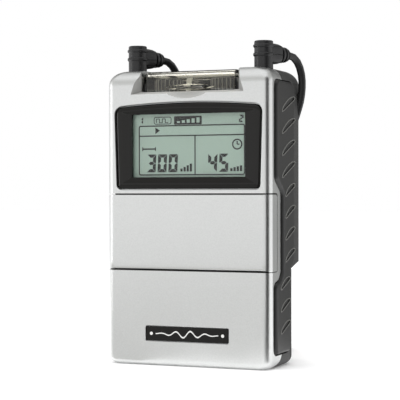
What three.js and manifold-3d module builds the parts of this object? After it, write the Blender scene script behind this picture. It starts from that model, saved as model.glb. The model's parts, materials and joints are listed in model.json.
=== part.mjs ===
// Pocket nerve stimulator (TENS unit) with two lead wires, as separate pieces that really fit and move.
// Millimetres, +Z up.  The unit stands on its base and faces -Y; the origin is the centre of the base.
// Inside the "unit" group Y is counted backwards from the front face, so Y = 0 is the face itself.
import * as THREE from 'three';
import { mergeVertices } from 'three/addons/utils/BufferGeometryUtils.js';
import Module from 'manifold-3d';

const wasm = await Module();
wasm.setup();

// ---------------------------------------------------------------- driving dimensions
const HEIGHT = 101;
const HALF_W = 30;            // silver and dark shells, without the side grips
const DEPTH = 28;             // upper two thirds of the case
const DEPTH_LOW = 25;         // battery door, at the lower back
const STEP_Z = 33;            // height of the step between the two depths
const WALL = 1.8;
const INNER_W = 27.8;         // half width of the hollow
const GAP = 0.3;              // clearance between neighbouring pieces
const PARTING_Y = 12;         // front shell ends here, rear shell begins
const CLIP_BACK = 35;         // rearmost face of the belt clip
const FRONT_Y = -CLIP_BACK / 2;

const DOOR = { z0: 32.65, z1: 58.35, thick: 1.6, wingY: 7.1, pivotY: 1.2, pivotZ: 33.85 };
const RECESS = { z0: 32.35, z1: 58.8, floorY: 3.2, slotY: 7.4, slotX: 28.1 };
const LCD = { halfW: 20.5, z0: 64.3, z1: 85.7 };
const WINDOW = { halfW: 17.9, backY: 19.2, z: 93.6 };      // opening for the knob cover
const COVER = { halfW: 16.3, y0: 3, z0: 94, z1: 100.5, thick: 1.2, pivotY: 16.6, pivotZ: 99.3 };
const KNOB = { x: 10.5, y: 10.3, r: 5.2, z0: 93.2, z1: 98 };
const BUTTON_X = [-18, -6, 6, 18];
const BUTTON_NAMES = ['mode', 'set', 'up', 'down'];
const BUTTON = { z: 45.5, r: 3.6 };
const SCREW_X = 25.3;
const SCREW_Z = [38, 82];
const PLUG = { x: 23.5, y: 12, r: 3.2, z0: 100.6, z1: 110.3, armZ: 105.9, armAngle: 58 * Math.PI / 180 };
const ARM_BODY = 6.6;         // arm length that belongs to the plug's moulding
const ARM_END = 10.2;         // end of the strain relief on it
const PCB = { y: 12.8, thick: 1.6, halfW: 21.9, z0: 33.5, z1: 85.5 };
const BATTERY = { x0: -25.4, x1: 22.6, y0: 5.9, y1: 22.9, z0: 3.4, z1: 29.4 };
const CLIP = { halfW: 9.5, pivotY: 31.2, pivotZ: 86, y0: 33, z0: 44, z1: 95 };
const CORD_D = 2.6;           // twin cord, across both cores
const BRANCH_D = 1.5;         // one core after the splitter

const SIDES = { left: -1, right: 1 };

// ---------------------------------------------------------------- materials
const look = (color, roughness, metalness) => new THREE.MeshStandardMaterial({ color, roughness, metalness });
const MATERIAL = {
  silver: () => look(0xc9cbcc, 0.38, 0.35),
  darkGrey: () => look(0x4a4a48, 0.6, 0),
  rubber: () => look(0x464644, 0.75, 0),
  glossBlack: () => look(0x1c1b19, 0.12, 0),
  blackPlastic: () => look(0x1b1b1c, 0.45, 0),
  smokeClear: () => new THREE.MeshStandardMaterial({
    color: 0x8f8770, roughness: 0.08, metalness: 0, transparent: true, opacity: 0.45,
  }),
  clear: () => new THREE.MeshStandardMaterial({
    color: 0xe8eeea, roughness: 0.05, metalness: 0, transparent: true, opacity: 0.25,
  }),
  lcd: () => look(0x93a89b, 0.3, 0),
  whitePlastic: () => look(0xdadad4, 0.5, 0),
  keyGrey: () => look(0x8d9196, 0.55, 0),
  pcb: () => look(0x1d5c3a, 0.5, 0),
  chip: () => look(0x202022, 0.5, 0),
  steel: () => look(0xb9bcc0, 0.3, 1),
  copper: () => look(0xa5622f, 0.4, 0.8),
  batteryJacket: () => look(0x2d4f86, 0.4, 0.1),
  cord: () => look(0x161616, 0.5, 0),
  redPlastic: () => look(0xa81f1c, 0.45, 0),
};

// ---------------------------------------------------------------- shapes
const solid = (geometry) => {
  const bare = geometry.clone();
  bare.deleteAttribute('normal');
  bare.deleteAttribute('uv');
  const merged = mergeVertices(bare, 1e-5);
  return new wasm.Manifold(new wasm.Mesh({
    numProp: 3,
    vertProperties: new Float32Array(merged.attributes.position.array),
    triVerts: new Uint32Array(merged.index.array),
  }));
};

const toGeometry = (body) => {
  const { vertProperties, triVerts } = body.getMesh();
  const geometry = new THREE.BufferGeometry();
  geometry.setAttribute('position', new THREE.BufferAttribute(new Float32Array(vertProperties), 3));
  geometry.setIndex(new THREE.BufferAttribute(new Uint32Array(triVerts), 1));
  geometry.computeVertexNormals();
  return geometry;
};

const box = (x0, x1, y0, y1, z0, z1) => {
  const geometry = new THREE.BoxGeometry(x1 - x0, y1 - y0, z1 - z0);
  geometry.translate((x0 + x1) / 2, (y0 + y1) / 2, (z0 + z1) / 2);
  return solid(geometry);
};

// the same box on one side of the unit: x counted outwards from the middle
const sideBox = (side, x0, x1, y0, y1, z0, z1) => (
  side > 0 ? box(x0, x1, y0, y1, z0, z1) : box(-x1, -x0, y0, y1, z0, z1)
);

const polygon = (points) => new THREE.Shape(points.map(([a, b]) => new THREE.Vector2(a, b)));

// rectangle with four corner radii, counter-clockwise from the lower left
const rounded = (a0, a1, b0, b1, [r1, r2, r3, r4]) => {
  const shape = new THREE.Shape();
  shape.moveTo(a0 + r1, b0);
  shape.lineTo(a1 - r2, b0);
  shape.absarc(a1 - r2, b0 + r2, r2, -Math.PI / 2, 0);
  shape.lineTo(a1, b1 - r3);
  shape.absarc(a1 - r3, b1 - r3, r3, 0, Math.PI / 2);
  shape.lineTo(a0 + r4, b1);
  shape.absarc(a0 + r4, b1 - r4, r4, Math.PI / 2, Math.PI);
  shape.lineTo(a0, b0 + r1);
  shape.absarc(a0 + r1, b0 + r1, r1, Math.PI, Math.PI * 1.5);
  return shape;
};

const extrude = (shape, depth, curveSegments) => (
  new THREE.ExtrudeGeometry(shape, { depth, bevelEnabled: false, curveSegments })
);

// outline in (x, z), thick along y
const plate = (shape, y0, y1, segments = 4) => {
  const geometry = extrude(shape, y1 - y0, segments);
  geometry.rotateX(Math.PI / 2);
  geometry.translate(0, y1, 0);
  return solid(geometry);
};

// outline in (x, y), tall along z
const column = (shape, z0, z1, segments = 4) => {
  const geometry = extrude(shape, z1 - z0, segments);
  geometry.translate(0, 0, z0);
  return solid(geometry);
};

// outline in (y, z), wide along x
const slice = (shape, x0, x1, segments = 4) => {
  const geometry = extrude(shape, x1 - x0, segments);
  geometry.applyMatrix4(new THREE.Matrix4().makeBasis(
    new THREE.Vector3(0, 1, 0),
    new THREE.Vector3(0, 0, 1),
    new THREE.Vector3(1, 0, 0),
  ));
  geometry.translate(x0, 0, 0);
  return solid(geometry);
};

const sideSlice = (side, shape, x0, x1, segments) => (
  side > 0 ? slice(shape, x0, x1, segments) : slice(shape, -x1, -x0, segments)
);

// cylinder from one height to another about a line parallel to an axis
const rod = (axis, centre, r, from, to, sides = 20) => {
  const geometry = new THREE.CylinderGeometry(r, r, to - from, sides);
  const middle = (from + to) / 2;
  const [a, b] = centre;
  if (axis === 'z') {
    geometry.rotateX(Math.PI / 2);
    geometry.translate(a, b, middle);
  } else if (axis === 'y') {
    geometry.translate(a, middle, b);
  } else {
    geometry.rotateZ(Math.PI / 2);
    geometry.translate(middle, a, b);
  }
  return solid(geometry);
};

// round piece lying along a direction in the horizontal plane; profile is [distance, radius] pairs
const turned = (profile, x, y, z, angle, sides = 16) => {
  const points = profile.map(([distance, r]) => new THREE.Vector2(r, distance));
  const first = new THREE.Vector2(0, profile[0][0]);
  const last = new THREE.Vector2(0, profile[profile.length - 1][0]);
  const geometry = new THREE.LatheGeometry([first, ...points, last], sides);
  geometry.rotateZ(-Math.PI / 2);
  geometry.rotateZ(angle);
  geometry.translate(x, y, z);
  return solid(geometry);
};

// ---------------------------------------------------------------- scene graph
const part = new THREE.Group();
const unit = new THREE.Group();
unit.position.y = FRONT_Y;
part.add(unit);

const place = (name, body, material) => {
  const mesh = new THREE.Mesh(toGeometry(body), material());
  mesh.name = name;
  unit.add(mesh);
};

// ---------------------------------------------------------------- case outline
const TOP_FILLET = 5.5;
const REAR_FILLET = 5;
const sideOutline = () => {
  const shape = new THREE.Shape();
  shape.moveTo(2, 0);
  shape.lineTo(DEPTH_LOW - 3, 0);
  shape.absarc(DEPTH_LOW - 3, 3, 3, -Math.PI / 2, 0);
  shape.lineTo(DEPTH_LOW, STEP_Z);
  shape.lineTo(DEPTH, STEP_Z + 2);
  shape.lineTo(DEPTH, HEIGHT - REAR_FILLET);
  shape.absarc(DEPTH - REAR_FILLET, HEIGHT - REAR_FILLET, REAR_FILLET, 0, Math.PI / 2);
  shape.lineTo(TOP_FILLET, HEIGHT);
  shape.absarc(TOP_FILLET, HEIGHT - TOP_FILLET, TOP_FILLET, Math.PI / 2, Math.PI);
  shape.lineTo(0, 2);
  shape.absarc(2, 2, 2, Math.PI, Math.PI * 1.5);
  return shape;
};
const caseBody = plate(rounded(-HALF_W, HALF_W, 0, HEIGHT, [3, 3, 5, 5]), 0, DEPTH)
  .intersect(column(rounded(-HALF_W, HALF_W, 0, DEPTH, [3, 3, 4, 4]), -1, HEIGHT + 1))
  .intersect(slice(sideOutline(), -HALF_W, HALF_W));

// the silver shell's side of the joint: straight down, then curling forward under the base
const frontSide = (shift) => polygon([
  [-1, -1], [5.3 + shift, -1], [5.3 + shift, 0.7], [8.4 + shift, 1.7], [10.6 + shift, 3.1],
  [PARTING_Y + shift, 5.2], [PARTING_Y + shift, HEIGHT + 1], [-1, HEIGHT + 1],
]);

// ---------------------------------------------------------------- side grips
const GRIP = { x0: 29.2, x1: 30.5, top: 96.8, bottom: 4.6, lowBack: 19, back: 23 };
const gripOutline = (grow) => polygon([
  [5 - grow, GRIP.bottom - grow], [3.4 - grow, 6.4 - grow], [3.6 - grow, 27.4 + grow],
  [5 - grow, 28.9 + grow], [7.2 - grow, 29.4 + grow], [10.5 - grow, 32.2],
  [10.5 - grow, 58.6], [7 - grow, 61.6], [4.1 - grow, 64.6], [4.3 - grow, 95 + grow],
  [5.6 - grow, GRIP.top + grow], [GRIP.back + grow, GRIP.top + grow], [GRIP.back + grow, 35.6 - grow],
  [21.2 + grow, STEP_Z + 0.6 - grow], [GRIP.lowBack + grow, STEP_Z - grow],
  [GRIP.lowBack + grow, GRIP.bottom - grow],
]);
const gripRecess = (side) => sideSlice(side, gripOutline(GAP), GRIP.x0 - GAP, HALF_W + 1);

const SLOT_PITCH = 7.4;
const slotAt = (side, y, z, length) => {
  const rise = length * 0.33;
  const half = 0.7;
  return sideSlice(side, polygon([
    [y, z], [y + length * 0.35, z + rise * 0.1 - half * 0.2], [y + length * 0.75, z + rise * 0.7 - half],
    [y + length, z + rise], [y + length * 0.6, z + rise * 0.85], [y + length * 0.2, z + rise * 0.4],
  ]), GRIP.x1 - 0.5, GRIP.x1 + 1);
};
for (const [name, side] of Object.entries(SIDES)) {
  let grip = sideSlice(side, gripOutline(0), GRIP.x0, GRIP.x1);
  for (let i = 0; i < 4; i += 1) {
    grip = grip
      .subtract(slotAt(side, 9.7, 86.4 - i * SLOT_PITCH, 12.6))
      .subtract(slotAt(side, 13.2, 57.9 - i * SLOT_PITCH, 9.2));
  }
  for (let i = 0; i < 3; i += 1) {
    grip = grip.subtract(slotAt(side, 8.3, 26 - i * SLOT_PITCH, 9.8));
  }
  place(`side_grip_${name}`, grip, MATERIAL.rubber);
}

// ---------------------------------------------------------------- display bezel outline
const bezelOutline = (grow) => {
  const shape = new THREE.Shape();
  const low = 60.3 - grow;
  const bottomW = 25.8 + grow;
  const topW = 26.6 + grow;
  shape.moveTo(-bottomW + 1.5, low);
  shape.lineTo(bottomW - 1.5, low);
  shape.quadraticCurveTo(bottomW, low, bottomW + 0.05, low + 1.5);
  shape.lineTo(topW, 86.2);
  shape.quadraticCurveTo(topW, 87.9 + grow, topW - 2, 88.2 + grow);
  shape.quadraticCurveTo(0, 90.8 + grow, -topW + 2, 88.2 + grow);
  shape.quadraticCurveTo(-topW, 87.9 + grow, -topW, 86.2);
  shape.lineTo(-bottomW - 0.05, low + 1.5);
  shape.quadraticCurveTo(-bottomW, low, -bottomW + 1.5, low);
  return shape;
};

// ---------------------------------------------------------------- front shell
const BEZEL_SEAT = 2;          // depth of the ledge that the bezel rests on
const LABEL = { halfW: 15.1, z0: 8.5, z1: 13.5, depth: 0.6 };

// recess round the knob cover: flared at the front face, straight further back
const flare = () => {
  const geometry = new THREE.BoxGeometry(2, 1, 1);
  const position = geometry.attributes.position;
  for (let i = 0; i < position.count; i += 1) {
    const front = position.getY(i) < 0;
    const side = Math.sign(position.getX(i));
    const halfW = front ? 20.9 : WINDOW.halfW;
    const low = front ? 92.5 : WINDOW.z;
    position.setXYZ(i, side * halfW, front ? -0.3 : 3, position.getZ(i) < 0 ? low : HEIGHT + 1);
  }
  return solid(geometry);
};

const scoop = () => {
  const geometry = new THREE.SphereGeometry(1, 20, 12);
  geometry.scale(9.6, 3.6, 3.9);
  geometry.translate(0, -1.6, 94.4);
  return solid(geometry);
};

const frontShell = () => {
  let shell = caseBody
    .intersect(slice(frontSide(0), -HALF_W - 1, HALF_W + 1))
    .subtract(box(-INNER_W, INNER_W, WALL, DEPTH, WALL, HEIGHT - WALL))
    // frame round the control recess, and the thick ledge under the knob cover
    .add(box(-28.6, 28.6, 1, 8.6, RECESS.z0 - 1.35, RECESS.z1 + 1.4))
    .add(box(-21.5, 21.5, 1, 2.6, 88.6, 94))
    .add(box(-27.9, 27.9, 1, BEZEL_SEAT + 0.8, RECESS.z1, 90))
    .subtract(box(-31, 31, -1, RECESS.floorY, RECESS.z0, RECESS.z1))
    .subtract(box(-26.6, 26.6, RECESS.floorY + 1.6, 9, RECESS.z0, RECESS.z1))
    .subtract(plate(bezelOutline(0.25), -1, BEZEL_SEAT, 8))
    .subtract(box(-22.3, 22.3, 1, 4, 62.5, 87.5))
    .subtract(flare())
    .subtract(box(-WINDOW.halfW, WINDOW.halfW, 2.5, DEPTH, WINDOW.z, HEIGHT + 1))
    .subtract(scoop())
    .subtract(box(
      -LABEL.halfW - GAP, LABEL.halfW + GAP,
      -1, LABEL.depth + GAP,
      LABEL.z0 - GAP, LABEL.z1 + GAP,
    ));
  for (const side of Object.values(SIDES)) {
    shell = shell
      .subtract(sideBox(side, RECESS.slotX, 31, -1, RECESS.slotY, RECESS.z0, RECESS.z1))
      .subtract(gripRecess(side))
      .subtract(rod('z', [side * PLUG.x, PLUG.y], 3.7, 96, HEIGHT + 1, 24));
    // hinge lug of the control door
    shell = shell
      .add(sideSlice(side, polygon([
        [0.6, 33.5], [1.2, 33.2], [1.75, 33.45], [RECESS.floorY + 0.2, 35.2], [RECESS.floorY + 0.2, 37],
        [2, 36], [0.6, 34.4],
      ]), 26.8, 27.9))
      .subtract(rod('x', [DOOR.pivotY, DOOR.pivotZ], 0.42, side > 0 ? 26 : -28, side > 0 ? 28 : -26, 8));
    // screw bosses
    for (const z of SCREW_Z) {
      const start = z < RECESS.z1 ? RECESS.floorY + 1 : BEZEL_SEAT;
      shell = shell
        .add(rod('y', [side * SCREW_X, z], 2.8, start, PARTING_Y, 12))
        .subtract(rod('y', [side * SCREW_X, z], 1.3, 5.2, PARTING_Y + 1, 10));
    }
  }
  for (const x of BUTTON_X) {
    shell = shell.subtract(rod('y', [x, BUTTON.z], BUTTON.r + GAP, 2, 6, 16));
  }
  return shell;
};
place('front_shell', frontShell(), MATERIAL.silver);
place('label_plate', box(-LABEL.halfW, LABEL.halfW, 0, LABEL.depth, LABEL.z0, LABEL.z1), MATERIAL.glossBlack);

// ---------------------------------------------------------------- rear shell with battery tray
const rearShell = () => {
  let shell = caseBody
    .subtract(slice(frontSide(GAP), -HALF_W - 1, HALF_W + 1))
    .subtract(box(-INNER_W, INNER_W, 0, DEPTH - WALL, STEP_Z + 1.8, HEIGHT - WALL))
    .subtract(box(-INNER_W, INNER_W, 0, 19, WALL, STEP_Z + 2))
    .subtract(box(-31, 31, 20.2, DEPTH, -1, STEP_Z))
    // tray that holds the battery
    .add(box(-27.5, 27.5, 4.4, 20.2, 2.1, 30.7))
    .add(box(-28, 28, PARTING_Y + GAP, 20.2, WALL - 0.1, 30.7))
    .subtract(box(-26.6, 26.6, 5.6, 21, 3.1, 29.8))
    .subtract(box(23.4, 26.2, 8.6, 11.4, 29, 31))
    .subtract(box(-WINDOW.halfW, WINDOW.halfW, 0, WINDOW.backY, 90.9, HEIGHT + 1));
  for (const side of Object.values(SIDES)) {
    shell = shell
      .subtract(gripRecess(side))
      .subtract(rod('z', [side * PLUG.x, PLUG.y], 3.7, 96, HEIGHT + 1, 24));
    for (const z of SCREW_Z) {
      shell = shell
        .add(rod('y', [side * SCREW_X, z], 3, PARTING_Y + GAP, 26.6, 12))
        .subtract(rod('y', [side * SCREW_X, z], 1.3, 8, DEPTH, 10))
        .subtract(rod('y', [side * SCREW_X, z], 2.3, 18, DEPTH + 1, 12));
    }
    // lugs for the belt clip's pin
    shell = shell
      .add(sideBox(side, 6.4, 8.2, DEPTH - 1, CLIP.pivotY, CLIP.pivotZ - 2.4, CLIP.pivotZ + 2.4))
      .add(side > 0
        ? rod('x', [CLIP.pivotY, CLIP.pivotZ], 1.5, 6.4, 8.2, 12)
        : rod('x', [CLIP.pivotY, CLIP.pivotZ], 1.5, -8.2, -6.4, 12))
      .subtract(rod('x', [CLIP.pivotY, CLIP.pivotZ], 1, side > 0 ? 6 : -9, side > 0 ? 9 : -6, 10));
  }
  return shell;
};
place('rear_shell', rearShell(), MATERIAL.darkGrey);

// ---------------------------------------------------------------- battery door
const batteryDoor = caseBody
  .intersect(box(-31, 31, 20.5, DEPTH, -1, STEP_Z - GAP))
  .subtract(box(-28.2, 28.2, 0, DEPTH_LOW - WALL, WALL, STEP_Z + 1));
place('battery_door', batteryDoor, MATERIAL.darkGrey);

// ---------------------------------------------------------------- display
place('display_bezel', plate(bezelOutline(0), 0, 1.7, 8)
  .subtract(box(-LCD.halfW, LCD.halfW, -1, 3, LCD.z0, LCD.z1)), MATERIAL.glossBlack);
place('display_window', box(-22, 22, 2, 2.7, 62.8, 87.2), MATERIAL.clear);
place('lcd_glass', box(-21.8, 21.8, 3, 4.9, 63, 87), MATERIAL.lcd);
place('lcd_holder', box(-22, 22, 5.2, 7, 62, 85.7)
  .subtract(box(-19, 19, 5, 8, 64.8, 83.6)), MATERIAL.whitePlastic);
place('lcd_connector_strip', box(-18, 18, 5.2, PCB.y - GAP, 65.2, 67.2), MATERIAL.rubber);

// ---------------------------------------------------------------- control door
const controlDoor = () => {
  const skin = caseBody
    .intersect(slice(rounded(0, DOOR.wingY, DOOR.z0, DOOR.z1, [DOOR.pivotY, 0.6, 2, 0.2]), -31, 31, 6));
  let door = skin.subtract(box(-28.4, 28.4, DOOR.thick, DOOR.wingY + 1, DOOR.z0 - 1, DOOR.z1 + 1));
  for (const side of Object.values(SIDES)) {
    door = door
      .subtract(sideBox(side, 26.4, 28.4, 0.45, DOOR.thick + 1, DOOR.z0 - 1, 37.4))
      .add(rod('x', [DOOR.pivotY, DOOR.pivotZ], 0.3, side > 0 ? 27 : -28.6, side > 0 ? 28.6 : -27, 8));
  }
  return door;
};
place('control_door', controlDoor(), MATERIAL.silver);

// ---------------------------------------------------------------- push buttons and the keypad under them
let keypad = box(-22, 22, 11.6, PCB.y - GAP, 41.5, 49.5);
BUTTON_X.forEach((x, i) => {
  const cap = rod('y', [x, BUTTON.z], BUTTON.r, 1.95, 5.2, 16)
    .add(rod('y', [x, BUTTON.z], BUTTON.r + 0.9, 5.1, 6, 12))
    .add(rod('y', [x, BUTTON.z], 1.5, 5.9, 9.5, 8));
  place(`button_${BUTTON_NAMES[i]}`, cap, MATERIAL.keyGrey);
  keypad = keypad.add(rod('y', [x, BUTTON.z], 2.4, 9.95, 11.7, 12));
});
place('keypad_membrane', keypad, MATERIAL.rubber);

// ---------------------------------------------------------------- knob cover, deck, knobs
const coverSection = () => {
  const { y0, z0, z1, thick, pivotY, pivotZ } = COVER;
  const bend = 3;
  const shape = new THREE.Shape();
  shape.moveTo(y0 + thick, z0);
  shape.lineTo(y0 + thick, z1 - bend);
  shape.absarc(y0 + bend, z1 - bend, bend - thick, Math.PI, Math.PI / 2, true);
  shape.lineTo(pivotY - 2.4, z1 - thick);
  shape.lineTo(pivotY - 1.2, pivotZ);
  shape.absarc(pivotY, pivotZ, z1 - pivotZ, Math.PI, Math.PI * 2.5, false);
  shape.lineTo(y0 + bend, z1);
  shape.absarc(y0 + bend, z1 - bend, bend, Math.PI / 2, Math.PI, false);
  shape.lineTo(y0, z0);
  return shape;
};
const thumbLip = () => {
  const shape = new THREE.Shape();
  shape.moveTo(9, COVER.y0 + 0.1);
  shape.quadraticCurveTo(0, -1.4, -9, COVER.y0 + 0.1);
  return column(shape, COVER.z0, COVER.z0 + 1.1, 12);
};
place('knob_cover', slice(coverSection(), -COVER.halfW, COVER.halfW, 6)
  .add(thumbLip())
  .subtract(rod('x', [COVER.pivotY, COVER.pivotZ], 0.75, -17, 17, 10)), MATERIAL.smokeClear);
place('cover_pin', rod('x', [COVER.pivotY, COVER.pivotZ], 0.45, -17.5, 17.5, 8), MATERIAL.steel);

const knobDeck = () => {
  let deck = box(-17.6, 17.6, 2.9, 18.9, 91.2, 92.6)
    .add(box(-17.6, 17.6, 18.1, 18.9, 92, 98.9))
    .add(box(-1.3, 1.3, 8.6, 15, 92, 97.2));
  for (const side of Object.values(SIDES)) {
    deck = deck
      .add(sideBox(side, 16.7, 17.6, 14.9, 18.9, 92, 100.3))
      .add(sideBox(side, 16.7, 17.6, 4.6, 18.9, 92, 96.5))
      .subtract(rod('z', [side * KNOB.x, KNOB.y], 1.8, 90, 94, 14));
  }
  return deck.subtract(rod('x', [COVER.pivotY, COVER.pivotZ], 0.75, -18, 18, 10));
};
place('knob_deck', knobDeck(), MATERIAL.blackPlastic);

const RIBS = 20;
const knobOutline = () => {
  const points = [];
  for (let i = 0; i < RIBS * 2; i += 1) {
    const angle = i * Math.PI / RIBS;
    const r = i % 2 === 0 ? KNOB.r : KNOB.r - 0.5;
    points.push([r * Math.cos(angle), r * Math.sin(angle)]);
  }
  return polygon(points);
};
for (const [name, side] of Object.entries(SIDES)) {
  const x = side * KNOB.x;
  const drum = column(knobOutline(), KNOB.z0, KNOB.z1).translate([x, KNOB.y, 0])
    .add(rod('z', [x, KNOB.y], 1.5, 91.3, KNOB.z0 + 1, 12));
  place(`knob_${name}`, drum, MATERIAL.rubber);
  place(`potentiometer_${name}`, box(x - 4.8, x + 4.8, KNOB.y - 4.8, KNOB.y + 4.8, 86, 90.6)
    .add(rod('z', [x, KNOB.y], 2.6, 90.5, 91, 14)), MATERIAL.pcb);
}

// ---------------------------------------------------------------- jacks and plugs
for (const [name, side] of Object.entries(SIDES)) {
  const x = side * PLUG.x;
  place(`jack_${name}`, sideBox(side, 19.6, 27.4, 7.6, 16.4, 86.6, 98.9)
    .add(rod('z', [x, PLUG.y], 3.4, 98, 100.2, 20))
    .subtract(rod('z', [x, PLUG.y], 2.05, 88, HEIGHT, 14)), MATERIAL.blackPlastic);
  place(`plug_${name}_pin`, rod('z', [x, PLUG.y], 1.75, 89, PLUG.z0 - GAP, 14)
    .subtract(rod('z', [x, PLUG.y], 2, 90.6, 91.1, 14).subtract(rod('z', [x, PLUG.y], 1.4, 90, 92, 14))),
    MATERIAL.steel);
  const barrel = rod('z', [x, PLUG.y], PLUG.r, PLUG.z0, PLUG.z1, 18)
    .add(rod('z', [x, PLUG.y], PLUG.r + 0.35, 108.3, 109, 18))
    .add(rod('z', [x, PLUG.y], PLUG.r + 0.35, 105.3, 106, 18))
    .add(turned([
      [0, 2.8], [ARM_BODY, 2.8], [ARM_BODY + 0.1, 2], [7.2, 2], [7.3, 2.5], [8.1, 2.45], [8.2, 1.9],
      [8.7, 1.9], [8.8, 2.3], [9.5, 2.2], [ARM_END, 1.8],
    ], x, PLUG.y, PLUG.armZ, PLUG.armAngle, 14));
  place(`plug_${name}_body`, barrel, MATERIAL.blackPlastic);
}

// ---------------------------------------------------------------- circuit board and what it carries
place('main_pcb', box(-PCB.halfW, PCB.halfW, PCB.y, PCB.y + PCB.thick, PCB.z0, PCB.z1), MATERIAL.pcb);
const REAR = PCB.y + PCB.thick + GAP;
place('microcontroller', box(-6, 6, REAR, REAR + 1.8, 66, 78), MATERIAL.chip);
for (const [name, side] of Object.entries(SIDES)) {
  place(`output_transformer_${name}`, sideBox(side, 5, 17, REAR, REAR + 9.6, 38, 48)
    .subtract(sideBox(side, 6.6, 15.4, REAR - 1, REAR + 8, 37, 39.6))
    .subtract(sideBox(side, 6.6, 15.4, REAR - 1, REAR + 8, 46.4, 49)), MATERIAL.copper);
}
place('capacitor', rod('y', [13, 56.5], 3.15, REAR, REAR + 9, 16), MATERIAL.chip);

// ---------------------------------------------------------------- battery
const TERMINAL_Z = { plus: 10, minus: 22.7 };
const battery = () => {
  const { x0, x1, y0, y1, z0, z1 } = BATTERY;
  let cell = slice(rounded(y0, y1, z0, z1, [2, 2, 2, 2]), x0, x1);
  for (const z of Object.values(TERMINAL_Z)) {
    cell = cell.add(rod('x', [(y0 + y1) / 2, z], 2.9, x1 - 0.5, x1 + 1.6, 16));
  }
  return cell;
};
place('battery', battery(), MATERIAL.batteryJacket);
let snap = box(BATTERY.x1 + GAP, 26.2, 9.9, 18.9, 5.6, 27.1);
for (const z of Object.values(TERMINAL_Z)) {
  snap = snap.subtract(rod('x', [14.4, z], 3.2, BATTERY.x1, BATTERY.x1 + 2, 16));
}
place('battery_snap', snap, MATERIAL.blackPlastic);

// ---------------------------------------------------------------- wires and lead cords
const tube = (points, diameter, steps, sides = 8) => {
  const path = new THREE.CatmullRomCurve3(points.map((p) => new THREE.Vector3(...p)), false, 'centripetal');
  const r = diameter / 2;
  const ring = Array.from({ length: sides }, (_, i) => [
    r * Math.cos(i * 2 * Math.PI / sides),
    r * Math.sin(i * 2 * Math.PI / sides),
  ]);
  return solid(new THREE.ExtrudeGeometry(polygon(ring), { steps, bevelEnabled: false, extrudePath: path }));
};
const BATTERY_WIRES = {
  red: [[24.4, 9.3, 25.6], [24.4, 9.3, 29], [24.2, 10.2, 33.4], [22.4, 11.5, 36.4], [20.4, 12.1, 38]],
  black: [[25.6, 10.4, 27.5], [25.6, 10.6, 29.6], [25.6, 11, 33], [24, 11.7, 34.4], [20.6, 12, 34.8]],
};
place('battery_wire_red', tube(BATTERY_WIRES.red, 1, 14, 6), MATERIAL.redPlastic);
place('battery_wire_black', tube(BATTERY_WIRES.black, 1, 14, 6), MATERIAL.cord);

// ---------------------------------------------------------------- case screws
let screwCount = 0;
for (const side of Object.values(SIDES)) {
  for (const z of SCREW_Z) {
    screwCount += 1;
    const x = side * SCREW_X;
    const screw = rod('y', [x, z], 1, 6, 18.5, 8)
      .add(rod('y', [x, z], 1.95, 18.3, 19.6, 12))
      .subtract(box(x - 1.3, x + 1.3, 19, 20, z - 0.25, z + 0.25))
      .subtract(box(x - 0.25, x + 0.25, 19, 20, z - 1.3, z + 1.3));
    place(`case_screw_${screwCount}`, screw, MATERIAL.steel);
  }
}

// ---------------------------------------------------------------- belt clip
const clipSection = () => {
  const { pivotY, pivotZ, y0, z0, z1 } = CLIP;
  return polygon([
    [y0, z0 + 4], [DEPTH + GAP + 0.3, z0 + 3.2], [DEPTH + GAP, z0 + 2], [DEPTH + GAP + 0.3, z0 + 0.8],
    [y0, z0],
    [CLIP_BACK - 0.6, z0], [CLIP_BACK, z0 + 1], [CLIP_BACK, z1 - 1], [CLIP_BACK - 0.6, z1], [y0 + 0.3, z1],
    [y0, z1 - 1], [y0, pivotZ + 2.4], [pivotY + 1.2, pivotZ + 2.1], [pivotY - 0.6, pivotZ + 2.1],
    [pivotY - 1.9, pivotZ + 0.9], [pivotY - 1.9, pivotZ - 0.9], [pivotY - 0.6, pivotZ - 2.1],
    [pivotY + 1.2, pivotZ - 2.1], [y0, pivotZ - 2.4],
  ]);
};
const beltClip = slice(clipSection(), -CLIP.halfW, CLIP.halfW)
  .subtract(box(6.1, CLIP.halfW + 1, DEPTH, CLIP.y0, CLIP.pivotZ - 3.2, CLIP.pivotZ + 3.2))
  .subtract(box(-CLIP.halfW - 1, -6.1, DEPTH, CLIP.y0, CLIP.pivotZ - 3.2, CLIP.pivotZ + 3.2))
  .subtract(box(-2.6, 2.6, DEPTH, CLIP.y0, CLIP.pivotZ - 3.2, CLIP.pivotZ + 3.2))
  .subtract(rod('x', [CLIP.pivotY, CLIP.pivotZ], 1, -10, 10, 10));
place('belt_clip', beltClip, MATERIAL.blackPlastic);
place('clip_pin', rod('x', [CLIP.pivotY, CLIP.pivotZ], 0.7, -8.1, 8.1, 10), MATERIAL.steel);
place('clip_spring', rod('x', [CLIP.pivotY, CLIP.pivotZ], 1.6, -2.2, 2.2, 14)
  .subtract(rod('x', [CLIP.pivotY, CLIP.pivotZ], 1, -3, 3, 10)), MATERIAL.steel);

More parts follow.
